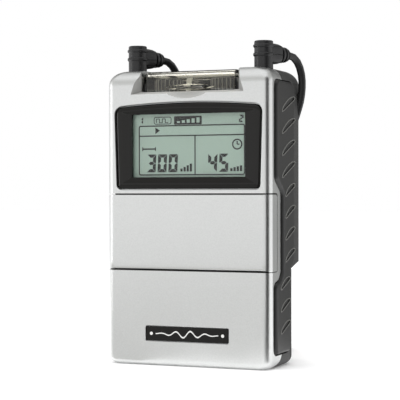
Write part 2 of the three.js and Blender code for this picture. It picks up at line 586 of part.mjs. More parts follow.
// ---------------------------------------------------------------- lead cords
// Each lead: twin cord out of its plug, down behind the case, a coil on the table, a splitter, two pins.
const COIL = { inner: 9.3, outer: 17.5, z0: 0.3, z1: 8.15 };
const LEADS = {
  right: {
    coil: [-0.5, 53.5],
    route: [
      [29.06, 20.9, 105.9], [30.5, 23.2, 105.2], [31.6, 25.7, 102.3], [31.9, 27.6, 97.6], [31, 29, 91.5],
      [29.2, 29.8, 86.2], [27.2, 30.1, 80.5], [26, 30.4, 72], [25.5, 30.8, 62], [25.3, 31.1, 50],
      [25.1, 31.5, 38], [24.9, 32, 27], [24.4, 32.9, 17], [22.8, 34, 9], [19.4, 35.3, 4], [14, 35.9, 2.1],
      [8.1, 36.3, 1.8],
    ],
  },
  left: {
    coil: [-35.8, 58.5],
    route: [
      [-17.94, 20.9, 105.9], [-16.7, 23.4, 105.3], [-15.9, 26.3, 103.2], [-15.4, 28.9, 99.6], [-15.1, 31, 94],
      [-15, 32.2, 86], [-15, 32.8, 76], [-15, 33, 64], [-15, 33, 50], [-15, 33, 37], [-15.3, 33.3, 25],
      [-16.1, 33.9, 14.5], [-18, 35.6, 6.8], [-20.9, 38, 3], [-24, 40, 1.9], [-27.2, 41.3, 1.8],
    ],
  },
};
// splitter, branches and pins lie on top of the coil; measured from its middle
const SPLITTER = { start: [-12.2, -6.5], angle: 105 * Math.PI / 180, length: 10, z: 10.15 };
const BRANCHES = {
  a: {
    route: [[-15.9, 3.3, 9.9], [-15.8, 8.3, 9], [-12.6, 13, 9], [-7, 16.4, 9], [0, 17.6, 9], [7.5, 15.9, 9.1],
      [12.4, 12.6, 9.7], [13.6, 9.9, 10.3]],
    tail: [13.7, 9.5],
  },
  b: {
    route: [[-13.9, 3.8, 9.9], [-12.8, 8.2, 9.2], [-9.4, 12.6, 9], [-3.5, 15.2, 9], [3, 14.6, 9.1],
      [6.9, 11.6, 9.9], [7.7, 7.9, 10.3]],
    tail: [7.7, 7.4],
  },
};
const PIN_Z = 10.35;
const CONNECTOR = [[0, 1.2], [3, 1.6], [3.1, 2.1], [15.6, 2.1], [16, 1.7], [16, 1], [23.6, 1], [24, 0.7]];

for (const [name, { coil, route }] of Object.entries(LEADS)) {
  place(`lead_${name}_cord`, tube(route, CORD_D, 40), MATERIAL.cord);
  const { inner, outer, z0, z1 } = COIL;
  const profile = [[inner, z0 + 1], [inner + 1, z0], [outer - 1, z0], [outer, z0 + 1],
    [outer, z1 - 1], [outer - 1, z1], [inner + 1, z1], [inner, z1 - 1], [inner, z0 + 1]];
  const ring = new THREE.LatheGeometry(profile.map(([r, z]) => new THREE.Vector2(r, z)), 28);
  ring.rotateX(Math.PI / 2);
  ring.translate(coil[0], coil[1], 0);
  place(`lead_${name}_coil`, solid(ring), MATERIAL.cord);

  const [cx, cy] = coil;
  const { start, angle, length, z } = SPLITTER;
  place(`lead_${name}_splitter`, turned([
    [0, 1.5], [1.5, 1.9], [length - 2, 1.9], [length, 1.9],
  ], cx + start[0], cy + start[1], z, angle, 12), MATERIAL.blackPlastic);
  for (const [letter, branch] of Object.entries(BRANCHES)) {
    const points = branch.route.map(([x, y, height]) => [cx + x, cy + y, height]);
    place(`lead_${name}_branch_${letter}`, tube(points, BRANCH_D, 18), MATERIAL.cord);
    place(`lead_${name}_pin_${letter}`, turned(CONNECTOR, cx + branch.tail[0], cy + branch.tail[1], PIN_Z,
      -Math.PI / 2, 12), letter === 'a' ? MATERIAL.redPlastic : MATERIAL.blackPlastic);
  }
}

export default part;
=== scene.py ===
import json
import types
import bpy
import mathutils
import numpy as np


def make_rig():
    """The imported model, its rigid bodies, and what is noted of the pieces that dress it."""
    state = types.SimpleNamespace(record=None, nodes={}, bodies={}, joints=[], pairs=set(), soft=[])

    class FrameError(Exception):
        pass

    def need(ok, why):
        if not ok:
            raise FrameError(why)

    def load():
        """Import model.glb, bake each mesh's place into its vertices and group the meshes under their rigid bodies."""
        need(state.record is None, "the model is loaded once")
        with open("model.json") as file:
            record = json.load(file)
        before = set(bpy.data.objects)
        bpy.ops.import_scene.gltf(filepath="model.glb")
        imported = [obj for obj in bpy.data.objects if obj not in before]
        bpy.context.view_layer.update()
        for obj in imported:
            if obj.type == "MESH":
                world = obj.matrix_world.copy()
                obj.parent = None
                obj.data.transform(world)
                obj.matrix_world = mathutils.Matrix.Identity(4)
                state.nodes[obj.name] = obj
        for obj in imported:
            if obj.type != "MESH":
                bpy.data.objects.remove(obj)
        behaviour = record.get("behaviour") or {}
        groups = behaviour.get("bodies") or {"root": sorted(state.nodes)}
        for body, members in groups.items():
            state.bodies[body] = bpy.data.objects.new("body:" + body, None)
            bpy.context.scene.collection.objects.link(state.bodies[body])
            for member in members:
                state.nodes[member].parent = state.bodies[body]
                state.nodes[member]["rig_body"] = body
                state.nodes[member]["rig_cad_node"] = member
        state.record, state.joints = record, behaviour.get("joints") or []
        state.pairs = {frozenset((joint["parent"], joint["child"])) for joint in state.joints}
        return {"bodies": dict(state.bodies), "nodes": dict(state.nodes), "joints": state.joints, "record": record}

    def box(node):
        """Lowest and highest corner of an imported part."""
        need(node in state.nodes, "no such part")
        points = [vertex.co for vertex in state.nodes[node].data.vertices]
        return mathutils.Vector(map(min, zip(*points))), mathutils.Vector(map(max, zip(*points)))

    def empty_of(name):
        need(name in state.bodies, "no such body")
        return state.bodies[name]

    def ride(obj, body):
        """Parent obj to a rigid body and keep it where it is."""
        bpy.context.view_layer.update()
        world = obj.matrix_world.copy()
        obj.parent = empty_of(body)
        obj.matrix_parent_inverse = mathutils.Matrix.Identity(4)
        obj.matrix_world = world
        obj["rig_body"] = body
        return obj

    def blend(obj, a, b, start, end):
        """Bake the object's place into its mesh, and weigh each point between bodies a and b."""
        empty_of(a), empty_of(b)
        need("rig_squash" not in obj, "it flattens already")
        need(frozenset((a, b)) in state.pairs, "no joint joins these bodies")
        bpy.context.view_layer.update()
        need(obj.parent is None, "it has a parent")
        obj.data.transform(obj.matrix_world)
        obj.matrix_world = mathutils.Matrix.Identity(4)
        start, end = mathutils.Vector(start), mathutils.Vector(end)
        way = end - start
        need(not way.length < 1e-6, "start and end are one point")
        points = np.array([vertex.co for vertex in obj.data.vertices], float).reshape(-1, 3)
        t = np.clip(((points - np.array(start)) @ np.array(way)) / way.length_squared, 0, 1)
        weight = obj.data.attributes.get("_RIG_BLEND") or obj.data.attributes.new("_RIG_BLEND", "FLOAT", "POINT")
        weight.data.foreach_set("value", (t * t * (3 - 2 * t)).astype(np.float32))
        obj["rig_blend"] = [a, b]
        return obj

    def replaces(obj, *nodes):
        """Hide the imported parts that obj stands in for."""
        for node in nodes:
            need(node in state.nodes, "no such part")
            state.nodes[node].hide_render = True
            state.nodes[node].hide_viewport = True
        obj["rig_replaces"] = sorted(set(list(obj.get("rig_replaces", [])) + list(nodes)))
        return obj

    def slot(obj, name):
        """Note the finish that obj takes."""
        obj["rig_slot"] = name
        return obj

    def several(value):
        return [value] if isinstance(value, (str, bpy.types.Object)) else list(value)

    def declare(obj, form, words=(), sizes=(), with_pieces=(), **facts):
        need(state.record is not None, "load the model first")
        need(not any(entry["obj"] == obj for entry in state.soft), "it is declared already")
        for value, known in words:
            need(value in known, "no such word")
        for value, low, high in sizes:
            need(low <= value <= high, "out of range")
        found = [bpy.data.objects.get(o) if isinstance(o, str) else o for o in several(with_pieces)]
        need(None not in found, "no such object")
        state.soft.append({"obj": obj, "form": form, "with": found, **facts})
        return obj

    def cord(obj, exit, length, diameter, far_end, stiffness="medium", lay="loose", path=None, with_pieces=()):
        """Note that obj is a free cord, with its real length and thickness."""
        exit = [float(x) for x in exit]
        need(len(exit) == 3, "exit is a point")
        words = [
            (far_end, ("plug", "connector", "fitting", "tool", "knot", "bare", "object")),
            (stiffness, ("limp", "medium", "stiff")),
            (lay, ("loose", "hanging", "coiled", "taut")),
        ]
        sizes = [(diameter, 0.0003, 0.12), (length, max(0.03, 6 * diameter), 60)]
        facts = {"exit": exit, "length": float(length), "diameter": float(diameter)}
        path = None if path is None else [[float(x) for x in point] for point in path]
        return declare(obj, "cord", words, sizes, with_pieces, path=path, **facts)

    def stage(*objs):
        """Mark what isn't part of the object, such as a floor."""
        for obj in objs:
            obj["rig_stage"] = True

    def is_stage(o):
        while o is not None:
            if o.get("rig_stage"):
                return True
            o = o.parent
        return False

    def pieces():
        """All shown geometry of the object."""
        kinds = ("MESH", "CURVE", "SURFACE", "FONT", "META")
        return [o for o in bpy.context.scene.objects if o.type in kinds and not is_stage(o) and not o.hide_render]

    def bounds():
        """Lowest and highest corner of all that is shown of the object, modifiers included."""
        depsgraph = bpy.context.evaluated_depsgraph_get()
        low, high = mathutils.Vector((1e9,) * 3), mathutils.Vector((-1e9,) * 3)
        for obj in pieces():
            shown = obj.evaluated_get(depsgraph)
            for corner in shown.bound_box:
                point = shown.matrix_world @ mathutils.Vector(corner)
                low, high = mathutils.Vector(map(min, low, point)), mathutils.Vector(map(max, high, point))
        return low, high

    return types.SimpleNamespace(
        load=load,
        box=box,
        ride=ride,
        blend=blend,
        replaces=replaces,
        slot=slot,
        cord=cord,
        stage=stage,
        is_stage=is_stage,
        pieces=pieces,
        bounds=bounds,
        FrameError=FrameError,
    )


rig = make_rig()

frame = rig.load()

import json
import math
from types import SimpleNamespace

import bmesh
import bpy
from mathutils import Matrix, Vector

# A pocket nerve stimulator with two leads. Lengths below are millimetres: x to the right, y counted backwards
# from the front face, z up from the table. at() turns them into metres in the frame.
MM = 0.001
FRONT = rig.box("display_bezel")[0].y / MM
cad_box = [list(corner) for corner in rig.bounds()]


def at(x, y, z):
    return Vector((x, y + FRONT, z)) * MM


def span(node):
    low, high = (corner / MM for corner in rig.box(node))
    return SimpleNamespace(x0=low.x, x1=high.x, y0=low.y - FRONT, y1=high.y - FRONT, z0=low.z, z1=high.z)


# ---------------------------------------------------------------- camera
CAMERA_AT = (186.56, -434.12, 60.3)
LOOK_AT = (0, 14.17, 50.5)
CAMERA_ROLL = math.radians(-0.13)


def add_camera():
    data = bpy.data.cameras.new("camera")
    data.sensor_width = 36
    data.lens = 126.03
    data.shift_x = -0.006
    data.shift_y = 0.0427
    data.clip_start = 0.01
    data.clip_end = 20
    camera = bpy.data.objects.new("camera", data)
    bpy.context.scene.collection.objects.link(camera)
    view = at(*LOOK_AT) - at(*CAMERA_AT)
    turn = view.to_track_quat("-Z", "Y").to_matrix().to_4x4() @ Matrix.Rotation(CAMERA_ROLL, 4, "Z")
    camera.matrix_world = Matrix.Translation(at(*CAMERA_AT)) @ turn
    bpy.context.scene.camera = camera


add_camera()

# ---------------------------------------------------------------- outlines and solids
SMOOTH_BELOW = math.radians(38)


def front_plane(a, b, h):
    return (a, h, b)


def top_plane(a, b, h):
    return (a, b, h)


def side_plane(side=1):
    return lambda a, b, h: (side * h, a, b)


def outline(*corners, steps=6):
    """A closed counter-clockwise outline whose corners (a, b, radius) are rounded."""
    points = []
    for i, (a, b, radius) in enumerate(corners):
        corner = Vector((a, b))
        if radius == 0:
            points.append((a, b))
            continue
        back = (Vector(corners[i - 1][:2]) - corner).normalized()
        ahead = (Vector(corners[(i + 1) % len(corners)][:2]) - corner).normalized()
        half = back.angle(ahead) / 2
        centre = corner + (back + ahead).normalized() * radius / math.sin(half)
        reach = radius / math.tan(half)
        first = corner + back * reach - centre
        last = corner + ahead * reach - centre
        start = math.atan2(first.y, first.x)
        sweep = (math.atan2(last.y, last.x) - start + math.pi) % (2 * math.pi) - math.pi
        for k in range(steps + 1):
            angle = start + sweep * k / steps
            points.append((centre.x + radius * math.cos(angle), centre.y + radius * math.sin(angle)))
    return points


def rectangle(a0, a1, b0, b1, radius=0.0, steps=6):
    return outline((a0, b0, radius), (a1, b0, radius), (a1, b1, radius), (a0, b1, radius), steps=steps)


def circle(a, b, radius, sides=40):
    turn = 2 * math.pi / sides
    return [(a + radius * math.cos(i * turn), b + radius * math.sin(i * turn)) for i in range(sides)]


def inset(points, distance):
    """The outline moved inwards, or outwards where distance is negative."""
    if abs(distance) < 1e-9:
        return list(points)
    moved = []
    for i, point in enumerate(points):
        here = Vector(point)
        before = (here - Vector(points[i - 1])).normalized()
        after = (Vector(points[(i + 1) % len(points)]) - here).normalized()
        normal = Vector((-before.y - after.y, before.x + after.x))
        moved.append(tuple(here + normal * distance / (1 + before.dot(after))))
    return moved


def quarter(radius, steps=4):
    """(inset, depth) along a quarter round, from the flat end to the side."""
    if radius == 0:
        return [(0.0, 0.0)]
    angles = [k * math.pi / 2 / steps for k in range(steps + 1)]
    return [(radius * (1 - math.sin(t)), radius * (1 - math.cos(t))) for t in angles]


def make_mesh(name, vertices, faces):
    mesh = bpy.data.meshes.new(name)
    mesh.from_pydata([at(*v) for v in vertices], [], faces)
    built = bmesh.new()
    built.from_mesh(mesh)
    bmesh.ops.recalc_face_normals(built, faces=built.faces)
    built.to_mesh(mesh)
    built.free()
    piece = bpy.data.objects.new(name, mesh)
    bpy.context.scene.collection.objects.link(piece)
    return piece


def loft(name, rings, closed=False):
    """A skin over rings of (x, y, z) points. It is capped at both ends, or joined end to end if closed."""
    count = len(rings[0])
    vertices = [point for ring in rings for point in ring]
    pairs = [(i, i + 1) for i in range(len(rings) - 1)]
    faces = []
    if closed:
        pairs.append((len(rings) - 1, 0))
    else:
        faces = [tuple(range(count)), tuple(reversed(range(len(vertices) - count, len(vertices))))]
    for a, b in pairs:
        for j in range(count):
            k = (j + 1) % count
            faces.append((a * count + j, a * count + k, b * count + k, b * count + j))
    return make_mesh(name, vertices, faces)


def layers(name, plane, points, levels, closed=False):
    """A loft of one outline at (height, inset) levels."""
    rings = [[plane(a, b, height) for a, b in inset(points, inward)] for height, inward in levels]
    return loft(name, rings, closed)


def slab(name, plane, points, low, high, round_low=0.0, round_high=0.0, steps=4):
    levels = [(low + depth, inward) for inward, depth in quarter(round_low, steps)]
    levels += [(high - depth, inward) for inward, depth in reversed(quarter(round_high, steps))]
    return layers(name, plane, points, levels)


def well(plane, points, mouth, floor, radius=0.3, steps=3):
    """A cutter for a hole or recess whose edge at the mouth is rounded."""
    way = 1 if floor > mouth else -1
    levels = [(mouth - 2 * way, -radius)]
    levels += [(mouth + way * depth, -grown) for grown, depth in quarter(radius, steps)]
    return layers("cutter", plane, points, levels + [(floor, 0)])


def block(x0, x1, y0, y1, z0, z1, radius=0.0):
    return slab("block", top_plane, rectangle(x0, x1, y0, y1, radius), z0, z1)


def turned(name, profile, base, axis, sides=40):
    """A round piece: profile holds (distance along axis, radius) pairs, both ends above zero radius."""
    along = Vector(axis).normalized()
    across = along.orthogonal().normalized()
    other = along.cross(across)
    turn = 2 * math.pi / sides
    rings = []
    for distance, radius in profile:
        centre = Vector(base) + along * distance
        rings.append([tuple(centre + (across * math.cos(i * turn) + other * math.sin(i * turn)) * radius)
                      for i in range(sides)])
    return loft(name, rings)


def ellipsoid(centre, radii, sides=64, rows=32):
    rings = []
    for i in range(1, rows):
        angle = math.pi * i / rows
        ring = circle(0, 0, math.sin(angle), sides)
        rings.append([(centre[0] + radii[0] * a, centre[1] + radii[1] * b,
                       centre[2] - radii[2] * math.cos(angle)) for a, b in ring])
    return loft("ellipsoid", rings)


def settle(piece):
    """Applies the modifiers of a piece."""
    graph = bpy.context.evaluated_depsgraph_get()
    mesh = bpy.data.meshes.new_from_object(piece.evaluated_get(graph))
    piece.modifiers.clear()
    piece.data = mesh
    return piece


def combine(operation, piece, tools):
    for tool in tools:
        modifier = piece.modifiers.new("boolean", "BOOLEAN")
        modifier.operation = operation
        modifier.solver = "MANIFOLD"
        modifier.object = tool
    settle(piece)
    for tool in tools:
        bpy.data.objects.remove(tool)
    return piece


def cut(piece, *tools):
    return combine("DIFFERENCE", piece, tools)


def add(piece, *tools):
    return combine("UNION", piece, tools)


def keep(piece, *tools):
    return combine("INTERSECT", piece, tools)


def join(name, pieces):
    """Several loose solids as one object."""
    built = bmesh.new()
    for piece in pieces:
        built.from_mesh(piece.data)
        bpy.data.objects.remove(piece)
    mesh = bpy.data.meshes.new(name)
    built.to_mesh(mesh)
    built.free()
    joined = bpy.data.objects.new(name, mesh)
    bpy.context.scene.collection.objects.link(joined)
    return joined


def soften(piece, width, where=lambda x, y, z: True, segments=2):
    """Rounds the sharp edges whose middle is where the test says."""
    built = bmesh.new()
    built.from_mesh(piece.data)
    bmesh.ops.dissolve_degenerate(built, dist=0.002 * MM, edges=built.edges)
    weight = built.edges.layers.float.new("bevel_weight_edge")
    for edge in built.edges:
        middle = (edge.verts[0].co + edge.verts[1].co) / 2 / MM
        sharp = len(edge.link_faces) == 2 and edge.calc_face_angle(0) > SMOOTH_BELOW
        edge[weight] = 1.0 if sharp and where(middle.x, middle.y - FRONT, middle.z) else 0.0
    built.to_mesh(piece.data)
    built.free()
    modifier = piece.modifiers.new("round", "BEVEL")
    modifier.limit_method = "WEIGHT"
    modifier.width = width * MM
    modifier.segments = segments
    modifier.use_clamp_overlap = True
    modifier.miter_outer = "MITER_ARC"
    return settle(piece)


def shade(piece):
    built = bmesh.new()
    built.from_mesh(piece.data)
    for face in built.faces:
        face.smooth = True
    for edge in built.edges:
        edge.smooth = len(edge.link_faces) == 2 and edge.calc_face_angle(0) < SMOOTH_BELOW
    built.to_mesh(piece.data)
    built.free()
    modifier = piece.modifiers.new("normals", "WEIGHTED_NORMAL")
    modifier.keep_sharp = True


# ---------------------------------------------------------------- materials
def finish(name, color, roughness, metallic=0.0, grain=900, mottle=0.06, relief=0.05, sheen=0.0, **fixed):
    """Moulded or painted surface: fine grain and slow unevenness in colour and roughness, and a fine relief."""
    material = bpy.data.materials.new(name)
    material.use_nodes = True
    nodes, links = material.node_tree.nodes, material.node_tree.links
    shader = nodes["Principled BSDF"]
    place = nodes.new("ShaderNodeTexCoord").outputs["Object"]

    def noise(scale, detail):
        node = nodes.new("ShaderNodeTexNoise")
        node.inputs["Scale"].default_value = scale
        node.inputs["Detail"].default_value = detail
        links.new(place, node.inputs["Vector"])
        return node.outputs["Fac"]

    def ranged(value, low, high):
        node = nodes.new("ShaderNodeMapRange")
        node.inputs["From Min"].default_value = 0.3
        node.inputs["From Max"].default_value = 0.7
        node.inputs["To Min"].default_value = low
        node.inputs["To Max"].default_value = high
        links.new(value, node.inputs["Value"])
        return node.outputs["Result"]

    fine, slow = noise(grain, 3), noise(35, 2)
    blend = nodes.new("ShaderNodeMath")
    blend.operation = "MULTIPLY_ADD"
    links.new(fine, blend.inputs[0])
    blend.inputs[1].default_value = 0.7
    scaled = nodes.new("ShaderNodeMath")
    scaled.operation = "MULTIPLY"
    links.new(slow, scaled.inputs[0])
    scaled.inputs[1].default_value = 0.3
    links.new(scaled.outputs[0], blend.inputs[2])
    tones = nodes.new("ShaderNodeMix")
    tones.data_type = "RGBA"
    tones.inputs["A"].default_value = (*[c * (1 - mottle) for c in color], 1)
    tones.inputs["B"].default_value = (*[min(1, c * (1 + mottle)) for c in color], 1)
    links.new(ranged(blend.outputs[0], 0, 1), tones.inputs["Factor"])
    links.new(tones.outputs["Result"], shader.inputs["Base Color"])
    links.new(ranged(slow, roughness * 0.92, roughness * 1.08), shader.inputs["Roughness"])
    if relief:
        bump = nodes.new("ShaderNodeBump")
        bump.inputs["Strength"].default_value = relief
        bump.inputs["Distance"].default_value = 0.1 * MM
        links.new(fine, bump.inputs["Height"])
        links.new(bump.outputs["Normal"], shader.inputs["Normal"])
    shader.inputs["Metallic"].default_value = metallic
    shader.inputs["Sheen Weight"].default_value = sheen
    for socket, value in fixed.items():
        shader.inputs[socket.replace("_", " ")].default_value = value
    return material


LOOKS = {
    "shell_silver": finish("silver_lacquer", (0.735, 0.745, 0.74), 0.31, metallic=1.0, grain=2600, mottle=0.05,
                           relief=0.05),
    # Dark moulding of the rear shell and battery lid; also laid inside the front shell's door recess as painted shade.
    "shell_dark": finish("dark_moulding_and_recess_shade", (0.035, 0.035, 0.034), 0.5, grain=1800, mottle=0.12, relief=0.18),
    "grip_rubber": finish("soft_touch_rubber", (0.01, 0.01, 0.0098), 0.32, grain=2200, mottle=0.15, relief=0.06),
    "bezel_gloss": finish("gloss_black", (0.006, 0.0056, 0.005), 0.06, grain=600, mottle=0.1, relief=0, IOR=1.36),
    "clear_lens": finish("clear_acrylic", (0.97, 0.98, 0.97), 0.02, grain=400, mottle=0.01, relief=0,
                         Transmission_Weight=1.0, IOR=1.35),
    "lcd_glass": finish("liquid_crystal", (0.43, 0.555, 0.48), 0.35, grain=3200, mottle=0.04, relief=0),
    "white_plastic": finish("natural_plastic", (0.7, 0.7, 0.67), 0.5, grain=1200, mottle=0.04, relief=0.1),
    "keypad_rubber": finish("silicone_rubber", (0.16, 0.16, 0.17), 0.6, grain=1500, mottle=0.08, relief=0.15),
    "key_plastic": finish("key_moulding", (0.3, 0.32, 0.34), 0.42, grain=1600, mottle=0.06, relief=0.12),
    "cover_smoke": finish("smoke_polycarbonate", (0.84, 0.82, 0.74), 0.015, grain=500, mottle=0.03, relief=0,
                          Transmission_Weight=1.0, IOR=1.38),
    "black_plastic": finish("black_moulding", (0.014, 0.014, 0.015), 0.38, grain=1500, mottle=0.12, relief=0.14),
    "knob_plastic": finish("knob_moulding", (0.03, 0.031, 0.036), 0.4, grain=1700, mottle=0.12, relief=0.1),
    "plug_plastic": finish("plug_overmould", (0.011, 0.011, 0.012), 0.36, grain=1300, mottle=0.14, relief=0.12),
    "nickel": finish("nickel_plate", (0.72, 0.69, 0.64), 0.18, metallic=1.0, grain=1900, mottle=0.04, relief=0.02),
    "pcb": finish("solder_mask", (0.02, 0.13, 0.06), 0.35, grain=700, mottle=0.2, relief=0.08),
    "chip": finish("black_epoxy", (0.02, 0.02, 0.022), 0.5, grain=1400, mottle=0.12, relief=0.12),
    "copper": finish("enamelled_copper", (0.45, 0.2, 0.09), 0.3, metallic=0.85, grain=2400, mottle=0.2, relief=0.2),
    "battery_jacket": finish("printed_jacket", (0.03, 0.08, 0.24), 0.3, metallic=0.3, grain=900, mottle=0.06,
                             relief=0.03),
    "steel": finish("zinc_plate", (0.55, 0.56, 0.57), 0.28, metallic=1.0, grain=2100, mottle=0.08, relief=0.05),
    "cord_black": finish("flexible_pvc", (0.012, 0.012, 0.0125), 0.36, grain=1400, mottle=0.14, relief=0.08),
    "wire_red": finish("red_pvc", (0.4, 0.02, 0.015), 0.4, grain=1400, mottle=0.1, relief=0.08),
    "pin_red": finish("red_insulator", (0.42, 0.02, 0.015), 0.3, grain=1200, mottle=0.08, relief=0.05),
    "pin_black": finish("black_insulator", (0.015, 0.015, 0.016), 0.3, grain=1200, mottle=0.1, relief=0.05),
}
# Lighter copy of the knob moulding laid on the outer faces of the knob ribs: a painted highlight where the ridges catch
# the light.
RIDGE_HIGHLIGHT_PAINT = finish("painted_ridge_highlight", (0.22, 0.22, 0.21), 0.35, grain=1700, mottle=0.1)
# A duller, darker copy of the silver lacquer: painted shade for the flare cheeks and the finger scoop.
SHADED_SILVER_COPY = finish("silver_painted_shade", (0.34, 0.34, 0.33), 0.5, metallic=0.1, grain=2600, mottle=0.05)
# Much lighter than the grip rubber: a painted highlight on the slot lips.
RIM_HIGHLIGHT_RUBBER = finish("rubber_painted_rim_highlight", (0.16, 0.16, 0.15), 0.3, grain=900, mottle=0.1, relief=0)
SEGMENT_INK = finish("segment_ink", (0.004, 0.005, 0.0045), 0.6, grain=1500, mottle=0.1, relief=0)
PALE_PRINT = finish("pale_print", (0.72, 0.72, 0.7), 0.4, grain=1500, mottle=0.05, relief=0)


def show(piece, slot, body="root", stands_for=(), look=None):
    """Gives a finished piece its smooth shading, material, slot and body, and hides the CAD nodes it stands for."""
    shade(piece)
    piece.data.materials.clear()
    piece.data.materials.append(look or LOOKS[slot])
    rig.ride(piece, body)
    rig.slot(piece, slot)
    if stands_for:
        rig.replaces(piece, *stands_for)
    return piece


SIDES = {"left": -1, "right": 1}

# ---------------------------------------------------------------- leads
CORD_D = 2.6
BRANCH_D = 1.5
LEADS = {
    "right": {
        "coil": (-0.5, 53.5),
        "route": [
            (29.06, 20.9, 105.9), (30.5, 23.2, 105.2), (31.6, 25.7, 102.3), (31.9, 27.6, 97.6), (31, 29, 91.5),
            (29.2, 29.8, 86.2), (27.2, 30.1, 80.5), (26, 30.4, 72), (25.5, 30.8, 62), (25.3, 31.1, 50),
            (25.1, 31.5, 38), (24.9, 32, 27), (24.4, 32.9, 17), (22.8, 34, 9), (19.4, 35.3, 4), (14, 35.9, 2.1),
            (8.1, 36.3, 1.8),
        ],
    },
    "left": {
        "coil": (-35.8, 58.5),
        "route": [
            (-17.94, 20.9, 105.9), (-16.7, 23.4, 105.3), (-15.9, 26.3, 103.2), (-15.4, 28.9, 99.6),
            (-15.1, 31, 94), (-15, 32.2, 86), (-15, 32.8, 76), (-15, 33, 64), (-15, 33, 50), (-15, 33, 37),
            (-15.3, 33.3, 25), (-16.1, 33.9, 14.5), (-18, 35.6, 6.8), (-20.9, 38, 3), (-24, 40, 1.9),
            (-27.2, 41.3, 1.8),
        ],
    },
}
# splitter, branches and pins lie on top of the coil; measured from its middle
SPLITTER = {"start": (-12.2, -6.5), "angle": math.radians(105), "length": 10, "z": 10.15}
BRANCHES = {
    "a": {
        "route": [(-15.9, 3.3, 9.9), (-15.8, 8.3, 9), (-12.6, 13, 9), (-7, 16.4, 9), (0, 17.6, 9), (7.5, 15.9, 9.1),
                  (12.4, 12.6, 9.7), (13.6, 9.9, 10.3)],
        "tail": (13.7, 9.5),
    },
    "b": {
        "route": [(-13.9, 3.8, 9.9), (-12.8, 8.2, 9.2), (-9.4, 12.6, 9), (-3.5, 15.2, 9), (3, 14.6, 9.1),
                  (6.9, 11.6, 9.9), (7.7, 7.9, 10.3)],
        "tail": (7.7, 7.4),
    },
}
PIN_Z = 10.35
COIL_RADII = (16, 13.4, 10.8)
COIL_PITCH = 2.6
COIL_LAYERS = (1.4, 3.95, 6.5)
COIL_STEPS = 32                # points in one turn
COIL_TURNS = 8.15              # from the side nearest the case to the splitter
INWARDS = (0.93, 1.93, 6.05, 7.05)     # turns at which the cord moves to a smaller ring
OUTWARDS = (3.55, 4.55, 8.05)
CLIMBS = (2.82, 5.31)          # turns at which it climbs to the next layer


def ease(value, start, end):
    t = min(1, max(0, (value - start) / (end - start)))
    return t * t * (3 - 2 * t)


def coil_point(turn):
    """(radius, height) after so many turns: inwards on the table, outwards on top of that, then inwards again."""
    steps = sum(ease(turn, k - 0.09, k + 0.09) for k in INWARDS) - sum(ease(turn, k - 0.1, k + 0.1) for k in OUTWARDS)
    climb = sum(ease(turn, k - 0.12, k + 0.12) for k in CLIMBS)
    height = COIL_LAYERS[0] + (COIL_LAYERS[1] - COIL_LAYERS[0]) * climb
    onto_the_top = ease(turn, COIL_TURNS - 0.33, COIL_TURNS - 0.09)
    settle_down = 0.4 * (1 - ease(turn, 0, 0.3))
    return COIL_RADII[0] - COIL_PITCH * steps, height + settle_down + (SPLITTER["z"] - COIL_LAYERS[2]) * onto_the_top


def coil_path(centre):
    points = []
    for i in range(1, round(COIL_TURNS * COIL_STEPS) + 1):
        turn = i / COIL_STEPS
        radius, height = coil_point(turn)
        angle = -math.pi / 2 - 2 * math.pi * turn
        points.append(Vector((centre[0] + radius * math.cos(angle), centre[1] + radius * math.sin(angle), height)))
    return points


def curve_through(points, spacing):
    """Evenly spaced points on a centripetal Catmull-Rom curve through the given ones."""
    knots = [Vector(p) for p in points]
    knots = [knots[0] * 2 - knots[1], *knots, knots[-1] * 2 - knots[-2]]
    dense = []
    for p0, p1, p2, p3 in zip(knots, knots[1:], knots[2:], knots[3:]):
        t1 = (p1 - p0).length ** 0.5
        t2 = t1 + (p2 - p1).length ** 0.5
        t3 = t2 + (p3 - p2).length ** 0.5
        for k in range(12):
            t = t1 + (t2 - t1) * k / 12
            a1 = p0 * ((t1 - t) / t1) + p1 * (t / t1)
            a2 = p1 * ((t2 - t) / (t2 - t1)) + p2 * ((t - t1) / (t2 - t1))
            a3 = p2 * ((t3 - t) / (t3 - t2)) + p3 * ((t - t2) / (t3 - t2))
            b1 = a1 * ((t2 - t) / t2) + a2 * (t / t2)
            b2 = a2 * ((t3 - t) / (t3 - t1)) + a3 * ((t - t1) / (t3 - t1))
            dense.append(b1 * ((t2 - t) / (t2 - t1)) + b2 * ((t - t1) / (t2 - t1)))
    dense.append(knots[-2])
    total = sum((b - a).length for a, b in zip(dense, dense[1:]))
    count = max(2, round(total / spacing))
    even, walked, goal = [dense[0]], 0.0, total / count
    for a, b in zip(dense, dense[1:]):
        step = (b - a).length
        while len(even) < count and walked + step >= goal * len(even):
            even.append(a.lerp(b, (goal * len(even) - walked) / step))
        walked += step
    return [*even, dense[-1]]


def path_length(points):
    return sum((b - a).length for a, b in zip(points, points[1:]))


def cable(name, path, section, up):
    """A closed tube along path; section holds (across, up) pairs and is carried along without twisting."""
    rings = []
    lift = Vector(up)
    for i, point in enumerate(path):
        ahead = (path[min(i + 1, len(path) - 1)] - path[max(i - 1, 0)]).normalized()
        lift = (lift - ahead * lift.dot(ahead)).normalized()
        across = ahead.cross(lift)
        rings.append([tuple(point + across * a + lift * b) for a, b in section])
    return loft(name, rings)


def twin_section():
    """Two cores side by side under one jacket, wider than thick, with a groove between them."""
    points = []
    for i in range(16):
        angle = 2 * math.pi * i / 16
        groove = 0.2 * math.exp(-(math.cos(angle) / 0.28) ** 2)
        thick = 1.08 - groove
        points.append((thick * math.sin(angle), CORD_D / 2 * math.cos(angle)))
    return points


def metres(path):
    return [tuple(at(*p)) for p in path]


def flat_direction(angle):
    return Vector((math.cos(angle), math.sin(angle), 0))


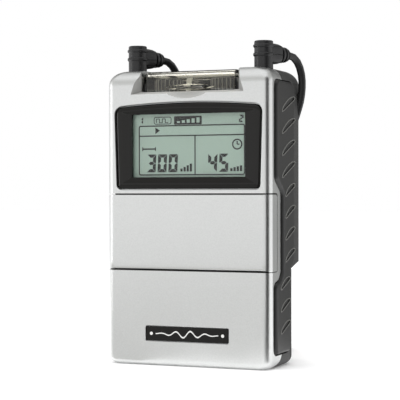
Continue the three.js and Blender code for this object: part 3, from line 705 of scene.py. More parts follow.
def make_lead(name, lead):
    centre = lead["coil"]
    coil = coil_path(centre)
    heading = flat_direction(SPLITTER["angle"])
    split_at = Vector((centre[0] + SPLITTER["start"][0], centre[1] + SPLITTER["start"][1], SPLITTER["z"]))
    path = curve_through([*lead["route"], *coil[:-1:2], coil[-1], split_at], 2.4)
    cord = cable(f"lead_{name}_twin_cord", path, twin_section(), (0.49, -0.31, 0.82))

    length = SPLITTER["length"]
    splitter = turned(f"lead_{name}_fork", [
        (-0.3, 1.35), (0.1, 1.5), (1.4, 1.85), (1.9, 1.9), (2.1, 1.7), (2.5, 1.7), (2.7, 1.9), (length - 1.6, 1.9),
        (length - 0.6, 1.8), (length - 0.1, 1.4),
    ], split_at, heading, sides=28)
    show(splitter, "plug_plastic", "root", [f"lead_{name}_splitter"])

    pins, branches = [], []
    for letter, branch in BRANCHES.items():
        points = [(centre[0] + x, centre[1] + y, z) for x, y, z in branch["route"]]
        tail = Vector((centre[0] + branch["tail"][0], centre[1] + branch["tail"][1], PIN_Z))
        pin = turned(f"lead_{name}_plug_{letter}", [
            (-0.1, 1.0), (0.2, 1.25), (2.8, 1.6), (3.0, 1.95), (3.3, 2.1), (5.1, 2.1), (5.3, 1.85), (5.7, 1.85),
            (5.9, 2.1), (7.1, 2.1), (7.3, 1.85), (7.7, 1.85), (7.9, 2.1), (9.1, 2.1), (9.3, 1.85), (9.7, 1.85),
            (9.9, 2.1), (15.3, 2.1), (15.7, 1.9), (15.9, 1.5),
        ], tail, (0, -1, 0), sides=32)
        slot = "pin_red" if letter == "a" else "pin_black"
        show(pin, slot, "root", [f"lead_{name}_pin_{letter}"])
        tip = turned(f"lead_{name}_tip_{letter}", [
            (15.7, 1.0), (22.6, 1.0), (23.3, 0.9), (23.8, 0.65), (24.0, 0.3),
        ], tail, (0, -1, 0), sides=28)
        show(tip, "nickel", "root")
        wire_path = curve_through([*points, tuple(tail)], 1.2)
        wire = cable(f"lead_{name}_core_{letter}", wire_path, circle(0, 0, BRANCH_D / 2, 14), (0, 0, 1))
        show(wire, "cord_black", "root", [f"lead_{name}_branch_{letter}"])
        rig.cord(wire, exit=at(*wire_path[0]), length=path_length(wire_path) * MM, diameter=BRANCH_D * MM,
                far_end="connector", stiffness="limp", lay="loose", path=metres(wire_path),
                with_pieces=[pin, tip])
        pins += [pin, tip]
        branches.append(wire)

    tie_ring = coil_tie(f"lead_{name}_tie", centre)
    show(cord, "cord_black", "root", [f"lead_{name}_cord", f"lead_{name}_coil"])
    cord.parent = None
    del cord["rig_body"]
    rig.blend(cord, f"plug_{name}", "root", start=at(*lead["route"][1]), end=at(*lead["route"][7]))
    return cord, path, [splitter, tie_ring]


def coil_tie(name, centre):
    """A flat strap round the turns and the branches on top of them, on the far side of the coil."""
    strap = outline((8.9, 0.06, 1.2), (18.8, 0.06, 1.2), (18.9, 10, 1.6), (12.4, 10.1, 1.6), (8.9, 8.2, 1.6), steps=6)
    rings = []
    for width, inward in ((-2.2, 0.12), (-2.0, 0), (2.0, 0), (2.2, 0.12), (2.2, 0.4), (-2.2, 0.4)):
        rings.append([(centre[0] + width, centre[1] + a, b) for a, b in inset(strap, inward)])
    piece = loft(name, rings, closed=True)
    return show(piece, "cord_black", "root")


made_leads = {name: make_lead(name, lead) for name, lead in LEADS.items()}

# ---------------------------------------------------------------- case
HEIGHT = span("front_shell").z1
HALF_W = span("front_shell").x1
DEPTH = span("rear_shell").y1
door_box = span("control_door")
bezel_box = span("display_bezel")
label_box = span("label_plate")
cover_box = span("knob_cover")
deck_box = span("knob_deck")
battery_box = span("battery")
STEP_Z = 33                    # the case is deeper above this height
DEPTH_LOW = 25
PARTING_Y = 12
GAP = 0.3
RECESS = SimpleNamespace(z0=door_box.z0 - 0.22, z1=door_box.z1 + 0.42, floor=3.2, slot_y=7.4, slot_x=28.1)
BUTTON_Z = 45.5
SCREWS = [(side * 25.3, z) for side in SIDES.values() for z in (38, 82)]
PLUG_X = 23.5
PLUG_Y = 12
PIVOT = SimpleNamespace(door_y=1.2, door_z=33.85, cover_y=16.6, cover_z=99.3, clip_y=31.2, clip_z=86)
EDGE = SimpleNamespace(side_low=3, side_top=5, front_low=2, front_top=5.5, back_low=3, back_top=5)
WINDOW_HALF = 17.9
WINDOW_Z = 93.6


def round_off(z, low, top):
    """How far a wall has pulled in at height z, with these radii at its foot and at its head."""
    if z < low:
        return low - math.sqrt(low * low - (low - z) ** 2)
    over = z - (HEIGHT - top)
    return top - math.sqrt(top * top - over * over) if over > 0 else 0


def case_body():
    heights = [depth for _, depth in quarter(EDGE.side_low, 8)] + [STEP_Z, STEP_Z + 2]
    heights += [HEIGHT - depth for _, depth in reversed(quarter(EDGE.front_top, 14))]
    rings = []
    for z in heights:
        half = HALF_W - round_off(z, EDGE.side_low, EDGE.side_top)
        front = round_off(z, EDGE.front_low, EDGE.front_top)
        deep = DEPTH_LOW if z < STEP_Z + 1 else DEPTH
        back = deep - round_off(z, EDGE.back_low, EDGE.back_top)
        ring = outline((-half, front, 3), (half, front, 3), (half, back, 4), (-half, back, 4), steps=10)
        rings.append([(x, y, z) for x, y in ring])
    return loft("case", rings)


def joint_line(shift):
    """The region in front of the seam between the two shells: straight, then curling forward under the base."""
    start, pull, end = Vector((12, 6.5)), Vector((11.9, 2.2)), Vector((5.3, 0.5))
    curl = [start * (1 - t) ** 2 + pull * 2 * t * (1 - t) + end * t * t for t in (k / 10 for k in range(11))]
    points = [(-2, HEIGHT + 2), (-2, -2), (end.x + shift, -2)]
    points += [(p.x + shift, p.y) for p in reversed(curl)] + [(start.x + shift, HEIGHT + 2)]
    return slab("cutter", side_plane(), points, -HALF_W - 2, HALF_W + 2)


GRIP_FACE = 30.9
GRIP = outline(
    (19, 4.6, 2.4), (19, 33, 1.5), (21.2, 33.6, 1.5), (23, 35.6, 1.5), (23, 96.8, 3), (4.3, 96.8, 2.6),
    (4.1, 63.6, 3), (10.5, 59, 3), (10.5, 32, 3), (8.4, 29.6, 2.4), (3.6, 28.4, 2.2), (3.4, 4.6, 2.6), steps=5)


def grip_recess(side):
    return well(side_plane(side), inset(GRIP, -0.12), HALF_W, 28.9, 0.2)


def flare():
    corners = {}
    for name, half, low, lean, y in (("front", 20.9, 92.5, 3.2, -0.3), ("back", WINDOW_HALF, WINDOW_Z, 0, 3)):
        upper = half - lean
        corners[name] = [(-half, y, low), (half, y, low), (upper, y, HEIGHT + 1), (-upper, y, HEIGHT + 1)]
    return loft("cutter", [corners["front"], corners["back"]])


def jack_hole(side):
    return well(top_plane, circle(side * PLUG_X, PLUG_Y, 3.7, 48), HEIGHT, 96, 0.35)


def door_lug(side):
    lug = outline((0.6, 33.5, 0), (1.2, 33.2, 0.2), (1.75, 33.45, 0), (RECESS.floor + 0.2, 35.2, 0),
                  (RECESS.floor + 0.2, 37, 0), (2, 36, 0.3), (0.6, 34.4, 0.3))
    return slab("lug", side_plane(side), lug, 26.8, 27.9)


def front_case():
    cavity = outline((1.9, 1.9, 1), (40, 1.9, 0), (40, HEIGHT - 2, 0), (1.9, HEIGHT - 2, 4))
    shell = keep(case_body(), joint_line(0))
    cut(shell, slab("cavity", side_plane(), cavity, -27.6, 27.6, 1.5, 1.5))
    add(shell, block(-28.6, 28.6, 1, 8.6, RECESS.z0 - 1.35, RECESS.z1 + 1.4))
    add(shell, block(-21.5, 21.5, 1, 2.6, 88.6, 94))
    add(shell, block(-27.9, 27.9, 1, 2.8, RECESS.z1, 90))
    wings = outline((-2, RECESS.z0, 0), (RECESS.slot_y, RECESS.z0, 1), (RECESS.slot_y, RECESS.z1, 1),
                    (-2, RECESS.z1, 0))
    cut(shell, block(-32, 32, -1, RECESS.floor, RECESS.z0, RECESS.z1))
    for side in SIDES.values():
        cut(shell, slab("cutter", side_plane(side), wings, RECESS.slot_x, 32))
    cut(shell, block(-26.6, 26.6, RECESS.floor + 1.6, 9, RECESS.z0 + 1, RECESS.z1 - 1))
    cut(shell, well(front_plane, bezel_outline(-0.22), 0, 2, 0.35))
    cut(shell, block(-22.3, 22.3, 1, 4, 62.5, 87.5))
    for side in SIDES.values():
        low, high = sorted((side * 17, side * 22.5))
        add(shell, keep(case_body(), block(low, high, 1.5, 4.5, 90, HEIGHT + 1)))
    cut(shell, flare())
    cut(shell, block(-WINDOW_HALF, WINDOW_HALF, 2.5, DEPTH, WINDOW_Z, HEIGHT + 1))
    cut(shell, ellipsoid((0, -1.6, 94.4), (9.6, 3.6, 3.9)))
    label = rectangle(label_box.x0 - 0.15, label_box.x1 + 0.15, label_box.z0 - 0.15, label_box.z1 + 0.15, 0.5)
    cut(shell, well(front_plane, label, 0, label_box.y1 + GAP, 0.25))
    for side in SIDES.values():
        cut(shell, grip_recess(side), jack_hole(side))
        add(shell, door_lug(side))
    for x, z in SCREWS:
        start = RECESS.floor + 1 if z < RECESS.z1 else 2
        add(shell, slab("boss", front_plane, circle(x, z, 2.8, 28), start, PARTING_Y))
        cut(shell, slab("cutter", front_plane, circle(x, z, 1.3, 24), 5.2, PARTING_Y + 1))
    for name in ("mode", "set", "up", "down"):
        x = (span(f"button_{name}").x0 + span(f"button_{name}").x1) / 2
        cut(shell, well(front_plane, circle(x, BUTTON_Z, 3.9, 40), RECESS.floor, 6, 0.3))

    def seam(x, y, z):
        door_edge = min(abs(z - RECESS.z0), abs(z - RECESS.z1)) < 0.02 and y < 7.5
        wing_edge = abs(x) > 29 and RECESS.z0 - 0.1 < z < RECESS.z1 + 0.1 and y < 7.6
        outer = y < 0.2 or abs(x) > 29.9 or math.hypot(max(0, abs(x) - 27), max(0, 3 - y)) > 2.9
        top = z > 92.3 and abs(x) > 17 and abs(x) < 21.5 and y < 3.5
        ledge = 92.3 < z < 94 and abs(x) < 21.5 and y < 3.2
        return (door_edge or wing_edge) and outer or top or ledge

    return soften(shell, 0.3, seam)


def bezel_outline(inward, steps=6):
    """The rounded frame of the display: a little wider at its crowned top; a positive number shrinks it."""
    low, high = bezel_box.z0, 88.2
    bottom_half, top_half, wider = 25.8, 26.6, 0.5
    points = outline((-bottom_half, low, 1.5), (bottom_half + wider, low, 1.5), (top_half + wider, high, 2.4),
                     (-top_half, high, 2.4), steps=steps)
    crown = bezel_box.z1 - high
    shaped = []
    for i, (a, b) in enumerate(points):
        shaped.append((a, b + crown * (1 - (a / top_half) ** 2) if b > high - 2.5 else b))
        following = points[(i + 1) % len(points)]
        for k in range(1, 14):
            t = k / 14
            if abs(following[0] - a) > 20 and b > high - 1:
                x = a + (following[0] - a) * t
                shaped.append((x, b + crown * (1 - (x / top_half) ** 2)))
            elif abs(following[0] - a) > 20 or abs(following[1] - b) > 15:
                shaped.append((a + (following[0] - a) * t, b + (following[1] - b) * t))
    return inset(shaped, inward)


def rear_case():
    shell = cut(case_body(), joint_line(GAP))
    cavity = outline((0, STEP_Z + 2, 0), (DEPTH - 1.9, STEP_Z + 2, 1), (DEPTH - 1.9, HEIGHT - 2, 3.4),
                     (0, HEIGHT - 2, 0))
    cut(shell, slab("cavity", side_plane(), cavity, -27.6, 27.6, 1.5, 1.5))
    cut(shell, block(-27.6, 27.6, 0, 19, 1.9, STEP_Z + 2.2))
    cut(shell, block(-32, 32, 20.2, DEPTH + 1, -1, STEP_Z))
    add(shell, block(-27.5, 27.5, 4.4, 20.2, 2.1, 30.7))
    add(shell, block(-28, 28, PARTING_Y + GAP, 20.2, 1.7, 30.7))
    cut(shell, block(-26.6, 26.6, 5.6, 21, 3.1, 29.8))
    cut(shell, block(23.4, 26.2, 8.6, 11.4, 29, 31))
    cut(shell, block(-WINDOW_HALF, WINDOW_HALF, 0, 19.2, 90.9, HEIGHT + 1))
    for side in SIDES.values():
        cut(shell, grip_recess(side), jack_hole(side))
        ear = outline((DEPTH - 1, PIVOT.clip_z - 2.4, 0), (PIVOT.clip_y + 0.2, PIVOT.clip_z - 2.4, 1.4),
                      (PIVOT.clip_y + 1.5, PIVOT.clip_z - 0.6, 1.1), (PIVOT.clip_y + 1.5, PIVOT.clip_z + 0.6, 1.1),
                      (PIVOT.clip_y + 0.2, PIVOT.clip_z + 2.4, 1.4), (DEPTH - 1, PIVOT.clip_z + 2.4, 0))
        add(shell, slab("ear", side_plane(side), ear, 6.4, 8.2, 0.3, 0.3))
        cut(shell, slab("cutter", side_plane(side), circle(PIVOT.clip_y, PIVOT.clip_z, 1, 24), 6, 9))
    for x, z in SCREWS:
        add(shell, slab("boss", front_plane, circle(x, z, 3, 28), PARTING_Y + GAP, 26.6))
        cut(shell, slab("cutter", front_plane, circle(x, z, 1.3, 24), 8, DEPTH))
        cut(shell, well(front_plane, circle(x, z, 2.3, 32), DEPTH, 18, 0.35))

    def seam(x, y, z):
        return y > 20 and abs(z - STEP_Z) < 0.1 or abs(y - 20.2) < 0.05 and z < STEP_Z and abs(x) > 28.5

    return soften(shell, 0.25, seam)


def battery_lid():
    lid = keep(case_body(), block(-32, 32, 20.5, DEPTH + 1, -1, STEP_Z - GAP))
    cut(lid, slab("cavity", side_plane(), outline((0, 1.9, 0), (DEPTH_LOW - 1.9, 1.9, 1.2),
                                                   (DEPTH_LOW - 1.9, STEP_Z + 1, 0), (0, STEP_Z + 1, 0)),
                  -28.1, 28.1, 0.8, 0.8))
    # shallow thumb rest with five ribs across it
    rest = outline((-9, 20.5, 3.4), (9, 20.5, 3.4), (9, 28.5, 3.4), (-9, 28.5, 3.4))
    cut(lid, well(front_plane, rest, DEPTH_LOW, DEPTH_LOW - 0.7, 0.45))
    for i in range(5):
        z = 21.7 + i * 1.4
        rib = outline((-6.5, z - 0.35, 0.3), (6.5, z - 0.35, 0.3), (6.5, z + 0.35, 0.3), (-6.5, z + 0.35, 0.3))
        add(lid, slab("rib", front_plane, rib, DEPTH_LOW - 1, DEPTH_LOW - 0.1, 0, 0.25, 2))
    # arrow that shows which way it slides
    arrow = outline((0, 13.6, 0.3), (2.6, 17, 0.3), (-2.6, 17, 0.3))
    cut(lid, slab("cutter", front_plane, arrow, DEPTH_LOW - 0.35, DEPTH_LOW + 1))
    return soften(lid, 0.25, lambda x, y, z: abs(z - (STEP_Z - GAP)) < 0.02 or abs(y - 20.5) < 0.02)


def slot_outline(y, z, long, rise):
    """A slim lens, slanting up and backwards with a slight bow."""
    points = []
    for i in range(28):
        angle = 2 * math.pi * i / 28
        along = math.cos(angle)
        across = 0.85 * math.sin(angle) + 0.5 * (1 - along * along)
        t = (along + 1) / 2
        points.append((y + long * t - across * rise / long, z + rise * t + across))
    return points


def grip_ring(side, height, front, around):
    """The pad's outline at one height, with its own inset along the edges that face forward."""
    ring = []
    for here, near, far in zip(GRIP, inset(GRIP, around), inset(GRIP, front)):
        inward = Vector(near) - Vector(here)
        share = max(0, inward.x / inward.length)
        ring.append(side_plane(side)(*Vector(near).lerp(Vector(far), share), height))
    return ring


def grip_slots():
    slots = [(9.7, 86.4 - 7.4 * i, 13, 5.0) for i in range(4)]
    slots += [(13.2, 57.9 - 7.4 * i, 9.5, 3.7) for i in range(4)]
    return slots + [(8.5, 26.6 - 7.4 * i, 9.3, 3.3) for i in range(3)]


def grip(side):
    # a narrow groove, a steep bevel along the front, then the face
    pad = loft("grip", [grip_ring(side, *level) for level in (
        (28.9, 0.1, 0.1), (29.5, 0.1, 0.12), (29.5, 0.3, 0.2), (30.2, 0.9, 0.3), (30.6, 1.4, 0.45), (30.82, 1.8, 0.75),
        (GRIP_FACE, 2.2, 1.1))])
    for slot in grip_slots():
        cut(pad, layers("cutter", side_plane(side), slot_outline(*slot),
                        [(GRIP_FACE + 1, 0.0), (GRIP_FACE, 0.0), (GRIP_FACE - 0.3, 0.05)]))
    return pad


def slot_rims(side):
    """The lips of the slots, one loop round each, in a lighter rubber that paints in their highlight."""
    loops = []
    for slot in grip_slots():
        lens = slot_outline(*slot)
        profile = [(GRIP_FACE - 0.3, 0.02), (GRIP_FACE - 0.3, -0.24), (GRIP_FACE + 0.06, -0.24),
                   (GRIP_FACE + 0.15, -0.16), (GRIP_FACE + 0.17, -0.08), (GRIP_FACE + 0.1, 0.02)]
        plane = side_plane(side)
        rings = [[plane(*corner, level) for corner in inset(lens, grow)] for level, grow in profile]
        loops.append(loft("rim", rings, closed=True))
    return join("slot_rims", loops)


front = show(front_case(), "shell_silver", "root", ["front_shell"])
front.name = "front_case"
# Faces inside the door recess take the dark moulding: painted shade in the recess and along the door seams.
front.data.materials.append(LOOKS["shell_dark"])
front.data.materials.append(SHADED_SILVER_COPY)
for face in front.data.polygons:
    y, z = face.center.y / MM - FRONT, face.center.z / MM
    if y < RECESS.slot_y + 0.02 and RECESS.z0 - 0.02 < z < RECESS.z1 + 0.02:
        face.material_index = 1
    # Flare cheeks beside the cover and the finger scoop get the darker silver copy: painted shade in place of their lit
    # grey look.
    x = abs(face.center.x / MM)
    if WINDOW_HALF - 0.1 < x < 21.2 and z > 92.3 and 0.05 < y < 3.1 and abs(face.normal.x) > 0.2:
        face.material_index = 2
    if x < 9.8 and 90 < z < 94.4 and 0.1 < y < 2.2 and face.normal.y > -0.99:
        face.material_index = 2
show(rear_case(), "shell_dark", "root", ["rear_shell"]).name = "rear_case"
show(battery_lid(), "shell_dark", "battery_door", ["battery_door"]).name = "battery_lid"
for side_name, side in SIDES.items():
    show(grip(side), "grip_rubber", "root", [f"side_grip_{side_name}"]).name = f"grip_pad_{side_name}"
    show(slot_rims(side), "grip_rubber", look=RIM_HIGHLIGHT_RUBBER).name = f"slot_rims_{side_name}"

# ---------------------------------------------------------------- display
lcd_box = span("lcd_glass")
window_box = span("display_window")
LCD_X = (-20.5, 20.95)
LCD_Z = (64.3, 85.7)


BEZEL_EDGE = 1.7               # how far in the rounding of its rim reaches


def opening_point(a, b):
    """The point of the opening's edge that belongs to a point of the outline."""
    low, high = LCD_Z
    if abs(a) > 25:
        share = (b - bezel_box.z0) / (88.2 - bezel_box.z0)
        return LCD_X[a > 0], low + (high - low) * min(1, max(0, share))
    return min(LCD_X[1], max(LCD_X[0], a * LCD_X[1] / 25.2)), low if b < 75 else high


def bezel():
    """A pillowed rim that dips towards the opening."""
    outer = bezel_outline(0)
    inner = [opening_point(a, b) for a, b in outer]
    rings = [[(a, 1.7, b) for a, b in outer], [(a, 1.0, b) for a, b in outer]]
    for inward, depth in reversed(quarter(1.0, 7)):
        rings.append([(a, depth, b) for a, b in inset(outer, inward * BEZEL_EDGE)])

    def between(share, y):
        start = inset(outer, BEZEL_EDGE)
        return [(p[0] + (q[0] - p[0]) * share, y, p[1] + (q[1] - p[1]) * share) for p, q in zip(start, inner)]

    rings += [between(0.12, 0.02), between(0.3, 0.12), between(0.6, 0.35), between(0.9, 0.55), between(0.98, 0.66),
              between(1, 0.85), between(1, 1.7)]
    return loft("bezel", rings, closed=True)


show(bezel(), "bezel_gloss", "root", ["display_bezel"]).name = "bezel"
lens = slab("window_lens", front_plane, rectangle(window_box.x0, window_box.x1, window_box.z0, window_box.z1, 1),
            window_box.y0, window_box.y1, 0.1, 0.1, 2)
show(lens, "clear_lens", "root", ["display_window"])
panel = slab("liquid_crystal_panel", front_plane, rectangle(lcd_box.x0, lcd_box.x1, lcd_box.z0, lcd_box.z1),
             lcd_box.y0, lcd_box.y1, 0.1, 0.1, 2)
show(panel, "lcd_glass", "root", ["lcd_glass"])

INK_Y = (lcd_box.y0 - 0.07, lcd_box.y0 + 0.05)


def ink(points):
    return slab("ink", front_plane, points, *INK_Y)


def stroke(a0, b0, a1, b1, width):
    start, end = Vector((a0, b0)), Vector((a1, b1))
    across = (end - start).normalized().orthogonal() * width / 2
    return ink([tuple(start + across), tuple(start - across), tuple(end - across), tuple(end + across)][::-1])


def frame_lines(a0, a1, b0, b1, width):
    rings = []
    for height, inward in ((INK_Y[0], 0), (INK_Y[0], width), (INK_Y[1], width), (INK_Y[1], 0)):
        rings.append([(a, height, b) for a, b in inset(rectangle(a0, a1, b0, b1, 0.8), inward)])
    return loft("ink", rings, closed=True)


DIGIT_BARS = {"0": "abcdef", "1": "bc", "2": "abged", "3": "abgcd", "4": "fgbc", "5": "afgcd"}


def digit(character, a, b, wide, tall, thick):
    """One seven-bar numeral with its lower left corner at (a, b); the bars are mitred where they meet."""
    gap, lean = 0.09, 0.05
    half, e = tall / 2, thick / 2
    beam = [(gap, tall), (wide - gap, tall), (wide - thick - gap, tall - thick), (thick + gap, tall - thick)]
    post = [(0, half + gap), (0, tall - gap), (thick, tall - thick - gap), (thick, half + e + gap), (e, half + gap)]
    middle = [(e + gap, half), (thick + gap, half + e), (wide - thick - gap, half + e), (wide - e - gap, half),
              (wide - thick - gap, half - e), (thick + gap, half - e)]
    bars = {
        "a": beam, "f": post, "g": middle,
        "b": [(wide - x, z) for x, z in post],
        "c": [(wide - x, tall - z) for x, z in post],
        "d": [(x, tall - z) for x, z in beam],
        "e": [(x, tall - z) for x, z in post],
    }
    return [ink([(a + x + lean * z, b + z) for x, z in bars[letter]]) for letter in DIGIT_BARS[character]]


def number(text, a, b, wide, tall, thick, pitch):
    marks = []
    for i, character in enumerate(text):
        marks += digit(character, a + i * pitch, b, wide, tall, thick)
    return marks


def pulse_icon(a, b, wide, tall, width):
    """A square pulse train."""
    marks, quarter_wide = [], wide / 4
    for i in range(2):
        x = a + i * wide / 2
        marks.append(stroke(x, b, x, b + tall, width))
        marks.append(stroke(x, b + tall, x + quarter_wide, b + tall, width))
        marks.append(stroke(x + quarter_wide, b + tall, x + quarter_wide, b, width))
        marks.append(stroke(x + quarter_wide, b, x + 2 * quarter_wide, b, width))
    return marks


def display_marks():
    line = 0.4
    marks = [frame_lines(-18.9, 20.2, 64.9, 82, line)]
    marks += [stroke(-18.9, 78.4, 20.2, 78.4, line), stroke(2.1, 64.9, 2.1, 78.4, line)]
    marks += number("300", -15.9, 66.0, 3.3, 6.1, 1.1, 4.05)
    marks += number("45", 6.7, 66.0, 3.3, 6.1, 1.1, 4.05)
    marks += number("1", -18.9, 82.5, 1.6, 2.5, 0.6, 1.9)
    marks += number("2", 18.0, 82.5, 1.6, 2.5, 0.6, 1.9)
    # clock
    rings = []
    for height, radius in ((INK_Y[0], 1.85), (INK_Y[0], 1.4), (INK_Y[1], 1.4), (INK_Y[1], 1.85)):
        rings.append([(a, height, b) for a, b in circle(17.4, 75.2, radius, 32)])
    marks.append(loft("ink", rings, closed=True))
    marks += [stroke(17.4, 75.2, 17.4, 76.3, 0.4), stroke(17.4, 75.2, 18.2, 75.2, 0.4)]
    # outlined tab with a pulse train, and a filled one with a row of pale bars
    marks.append(frame_lines(-13.2, -6.6, 82.3, 84.9, 0.25))
    marks += pulse_icon(-12.2, 82.9, 4.4, 1.3, 0.25)
    marks.append(ink(rectangle(-5.6, 4.6, 82.1, 85, 0.4)))
    # small level bars beside the numerals
    for i in range(4):
        marks.append(ink(rectangle(-3.3 + i * 1.15, -2.5 + i * 1.15, 66.2, 67.2 + i * 0.55)))
        marks.append(ink(rectangle(14.9 + i * 1.15, 15.7 + i * 1.15, 66.2, 67.2 + i * 0.3)))
    marks += [ink(rectangle(-17.4, -12.6, 73.7, 74.2)), stroke(-17.4, 73.3, -17.4, 74.6, 0.35),
              stroke(-12.6, 73.3, -12.6, 74.6, 0.35)]
    marks.append(ink(outline((-12.6, 79.1, 0), (-10.9, 80.2, 0), (-12.6, 81.3, 0))))
    return marks


show(join("display_marks", display_marks()), "lcd_glass", look=SEGMENT_INK)
tab_marks = []
for bar in range(5):
    tab_marks.append(slab("mark", front_plane, rectangle(-4.5 + bar * 1.8, -3.4 + bar * 1.8, 82.7, 83.3 + bar * 0.28),
                          INK_Y[0] - 0.04, INK_Y[0] + 0.02))
show(join("display_tab_marks", tab_marks), "lcd_glass")

# ---------------------------------------------------------------- label plate with a plain wave mark
plate = slab("label", front_plane, rectangle(label_box.x0, label_box.x1, label_box.z0, label_box.z1, 0.4), 0.12,
             label_box.y1, 0.15, 0, 3)
show(plate, "bezel_gloss", "root", ["label_plate"])


def wave_mark():
    middle = (label_box.z0 + label_box.z1) / 2
    top, bottom = [], []
    for i in range(73):
        x = -11.5 + 23 * i / 72
        swell = math.exp(-(x / 7) ** 2)
        z = middle + 1.15 * swell * math.sin(x * 1.15)
        thick = 0.16 + 0.1 * swell
        top.append((x, z + thick))
        bottom.append((x, z - thick))
    wave = slab("mark", front_plane, bottom + top[::-1], 0.02, 0.2)
    dots = [slab("mark", front_plane, circle(side * 13.1, middle, 0.55, 24), 0.02, 0.2) for side in (-1, 1)]
    return join("wave_mark", [wave, *dots])


show(wave_mark(), "white_plastic", look=PALE_PRINT)

# ---------------------------------------------------------------- control door and keys
def door():
    profile = outline((0, door_box.z0, 1.2), (door_box.y1, door_box.z0, 0.8), (door_box.y1, door_box.z1, 1.2),
                      (0, door_box.z1, 0.25))
    skin = keep(case_body(), slab("cutter", side_plane(), profile, -32, 32))
    inside = rectangle(-28.4, 28.4, 1.6, 12, 0.6)
    cut(skin, slab("cutter", top_plane, inside, door_box.z0 - 1, door_box.z1 + 1))
    for side in SIDES.values():
        cut(skin, slab("cutter", side_plane(side), rectangle(0.45, 2.6, door_box.z0 - 1, 37.4), 26.4, 28.4))
        add(skin, slab("stub", side_plane(side), circle(PIVOT.door_y, PIVOT.door_z, 0.3, 16), 27, 28.6))

    def rim(x, y, z):
        end = min(abs(z - door_box.z0), abs(z - door_box.z1)) < 0.02
        outer = y < 0.3 or abs(x) > 29.5 or math.hypot(max(0, abs(x) - 27), max(0, 3 - y)) > 2.8
        return outer and (end or abs(x) > 29.5)

    return soften(skin, 0.3, rim)


show(door(), "shell_silver", "control_door", ["control_door"]).name = "door_panel"


def key(name):
    box = span(f"button_{name}")
    x = (box.x0 + box.x1) / 2
    cap = turned(f"key_{name}", [
        (box.y0 + 0.16, 1.5), (box.y0 + 0.1, 2.3), (box.y0, 2.9), (box.y0 + 0.06, 3.3), (box.y0 + 0.35, 3.6),
        (5.15, 3.6), (5.15, 4.5), (6, 4.5), (6, 1.5), (box.y1, 1.5),
    ], (x, 0, BUTTON_Z), (0, 1, 0), sides=48)
    return cap, x


def arrow_mark(x, up):
    way = 1 if up else -1
    tip, low = BUTTON_Z + way * 1.1, BUTTON_Z - way * 0.8
    corners = [(x - 1.2, low), (x + 1.2, low), (x, tip)]
    return slab("mark", front_plane, corners if up else corners[::-1], 2.0, 2.2)


for key_name in ("mode", "set", "up", "down"):
    cap, key_x = key(key_name)
    show(cap, "key_plastic", f"button_{key_name}", [f"button_{key_name}"])
    if key_name in ("up", "down"):
        mark = arrow_mark(key_x, key_name == "up")
    elif key_name == "mode":
        mark = slab("mark", front_plane, circle(key_x, BUTTON_Z, 0.9, 24), 2.0, 2.2)
    else:
        mark = slab("mark", front_plane, rectangle(key_x - 0.9, key_x + 0.9, BUTTON_Z - 0.9, BUTTON_Z + 0.9, 0.2),
                    2.0, 2.2)
    mark.name = f"key_{key_name}_mark"
    show(mark, "key_plastic", f"button_{key_name}", look=PALE_PRINT)


# ---------------------------------------------------------------- knob cover, deck and knobs
def cover():
    y0, z0, z1, thick, bend = 3.0, 94.0, 100.5, 1.2, 2.6
    half = (cover_box.x1 - cover_box.x0) / 2
    py, pz = PIVOT.cover_y, PIVOT.cover_z
    eye = z1 - pz

    def arc(cy, cz, radius, start, end, steps=8):
        return [(cy + radius * math.cos(math.radians(start + (end - start) * k / steps)),
                 cz + radius * math.sin(math.radians(start + (end - start) * k / steps))) for k in range(steps + 1)]

    section = [(y0, z0), (y0 + thick, z0)]
    section += arc(y0 + bend, z1 - bend, bend - thick, 180, 90)
    section += [(py - 2.4, z1 - thick)]
    section += arc(py, pz, eye, 180, 450, 14)
    section += arc(y0 + bend, z1 - bend, bend, 90, 180)[:]
    shell = slab("cover", side_plane(), section, -half, half, 0.35, 0.35, 3)
    rings = []
    for k in range(1, 32):
        x = -9.2 * math.cos(math.pi * k / 32)
        share = 1 - (x / 9.2) ** 2
        out, tall = 0.25 + 2.1 * share, 0.2 + 0.85 * share
        ring = circle(0, 0, 1, 20)
        rings.append([(x, 3.2 + out * a, 94.85 + tall * b) for a, b in ring])
    add(shell, loft("lip", rings))
    return cut(shell, slab("cutter", side_plane(), circle(py, pz, 0.75, 24), -18, 18))


show(cover(), "cover_smoke", "knob_cover", ["knob_cover"]).name = "clear_cover"


def knob_tray():
    tray = block(-17.6, 17.6, 2.9, 18.9, 91.2, 92.6)
    add(tray, block(-17.6, 17.6, 18.1, 18.9, 92, 98.9))
    add(tray, slab("rib", side_plane(), outline((8.6, 92, 0), (15, 92, 0), (15, 97.2, 0.6), (8.6, 97.2, 1.2)),
                   -1.3, 1.3, 0.3, 0.3))
    for side in SIDES.values():
        add(tray, slab("cheek", side_plane(side), outline((4.6, 92, 0), (18.9, 92, 0), (18.9, 100.3, 1),
                                                          (14.9, 100.3, 1), (14.4, 96.5, 0.8), (4.6, 96.5, 0.8)),
                       16.7, 17.6, 0.15, 0.15))
        knob = span("knob_left" if side < 0 else "knob_right")
        cut(tray, slab("cutter", top_plane, circle((knob.x0 + knob.x1) / 2, (knob.y0 + knob.y1) / 2, 1.8, 32), 90, 94))
    return cut(tray, slab("cutter", side_plane(), circle(PIVOT.cover_y, PIVOT.cover_z, 0.75, 24), -18, 18))


show(knob_tray(), "black_plastic", "root", ["knob_deck"]).name = "knob_tray"
index_mark = slab("tray_index_mark", front_plane, outline((-3.7, 93.4, 0.2), (-2, 93.4, 0.2), (-0.9, 98.3, 0.2),
                                                          (-3, 98.3, 0.2)), 8.2, 8.7, 0.1, 0)
show(index_mark, "white_plastic")


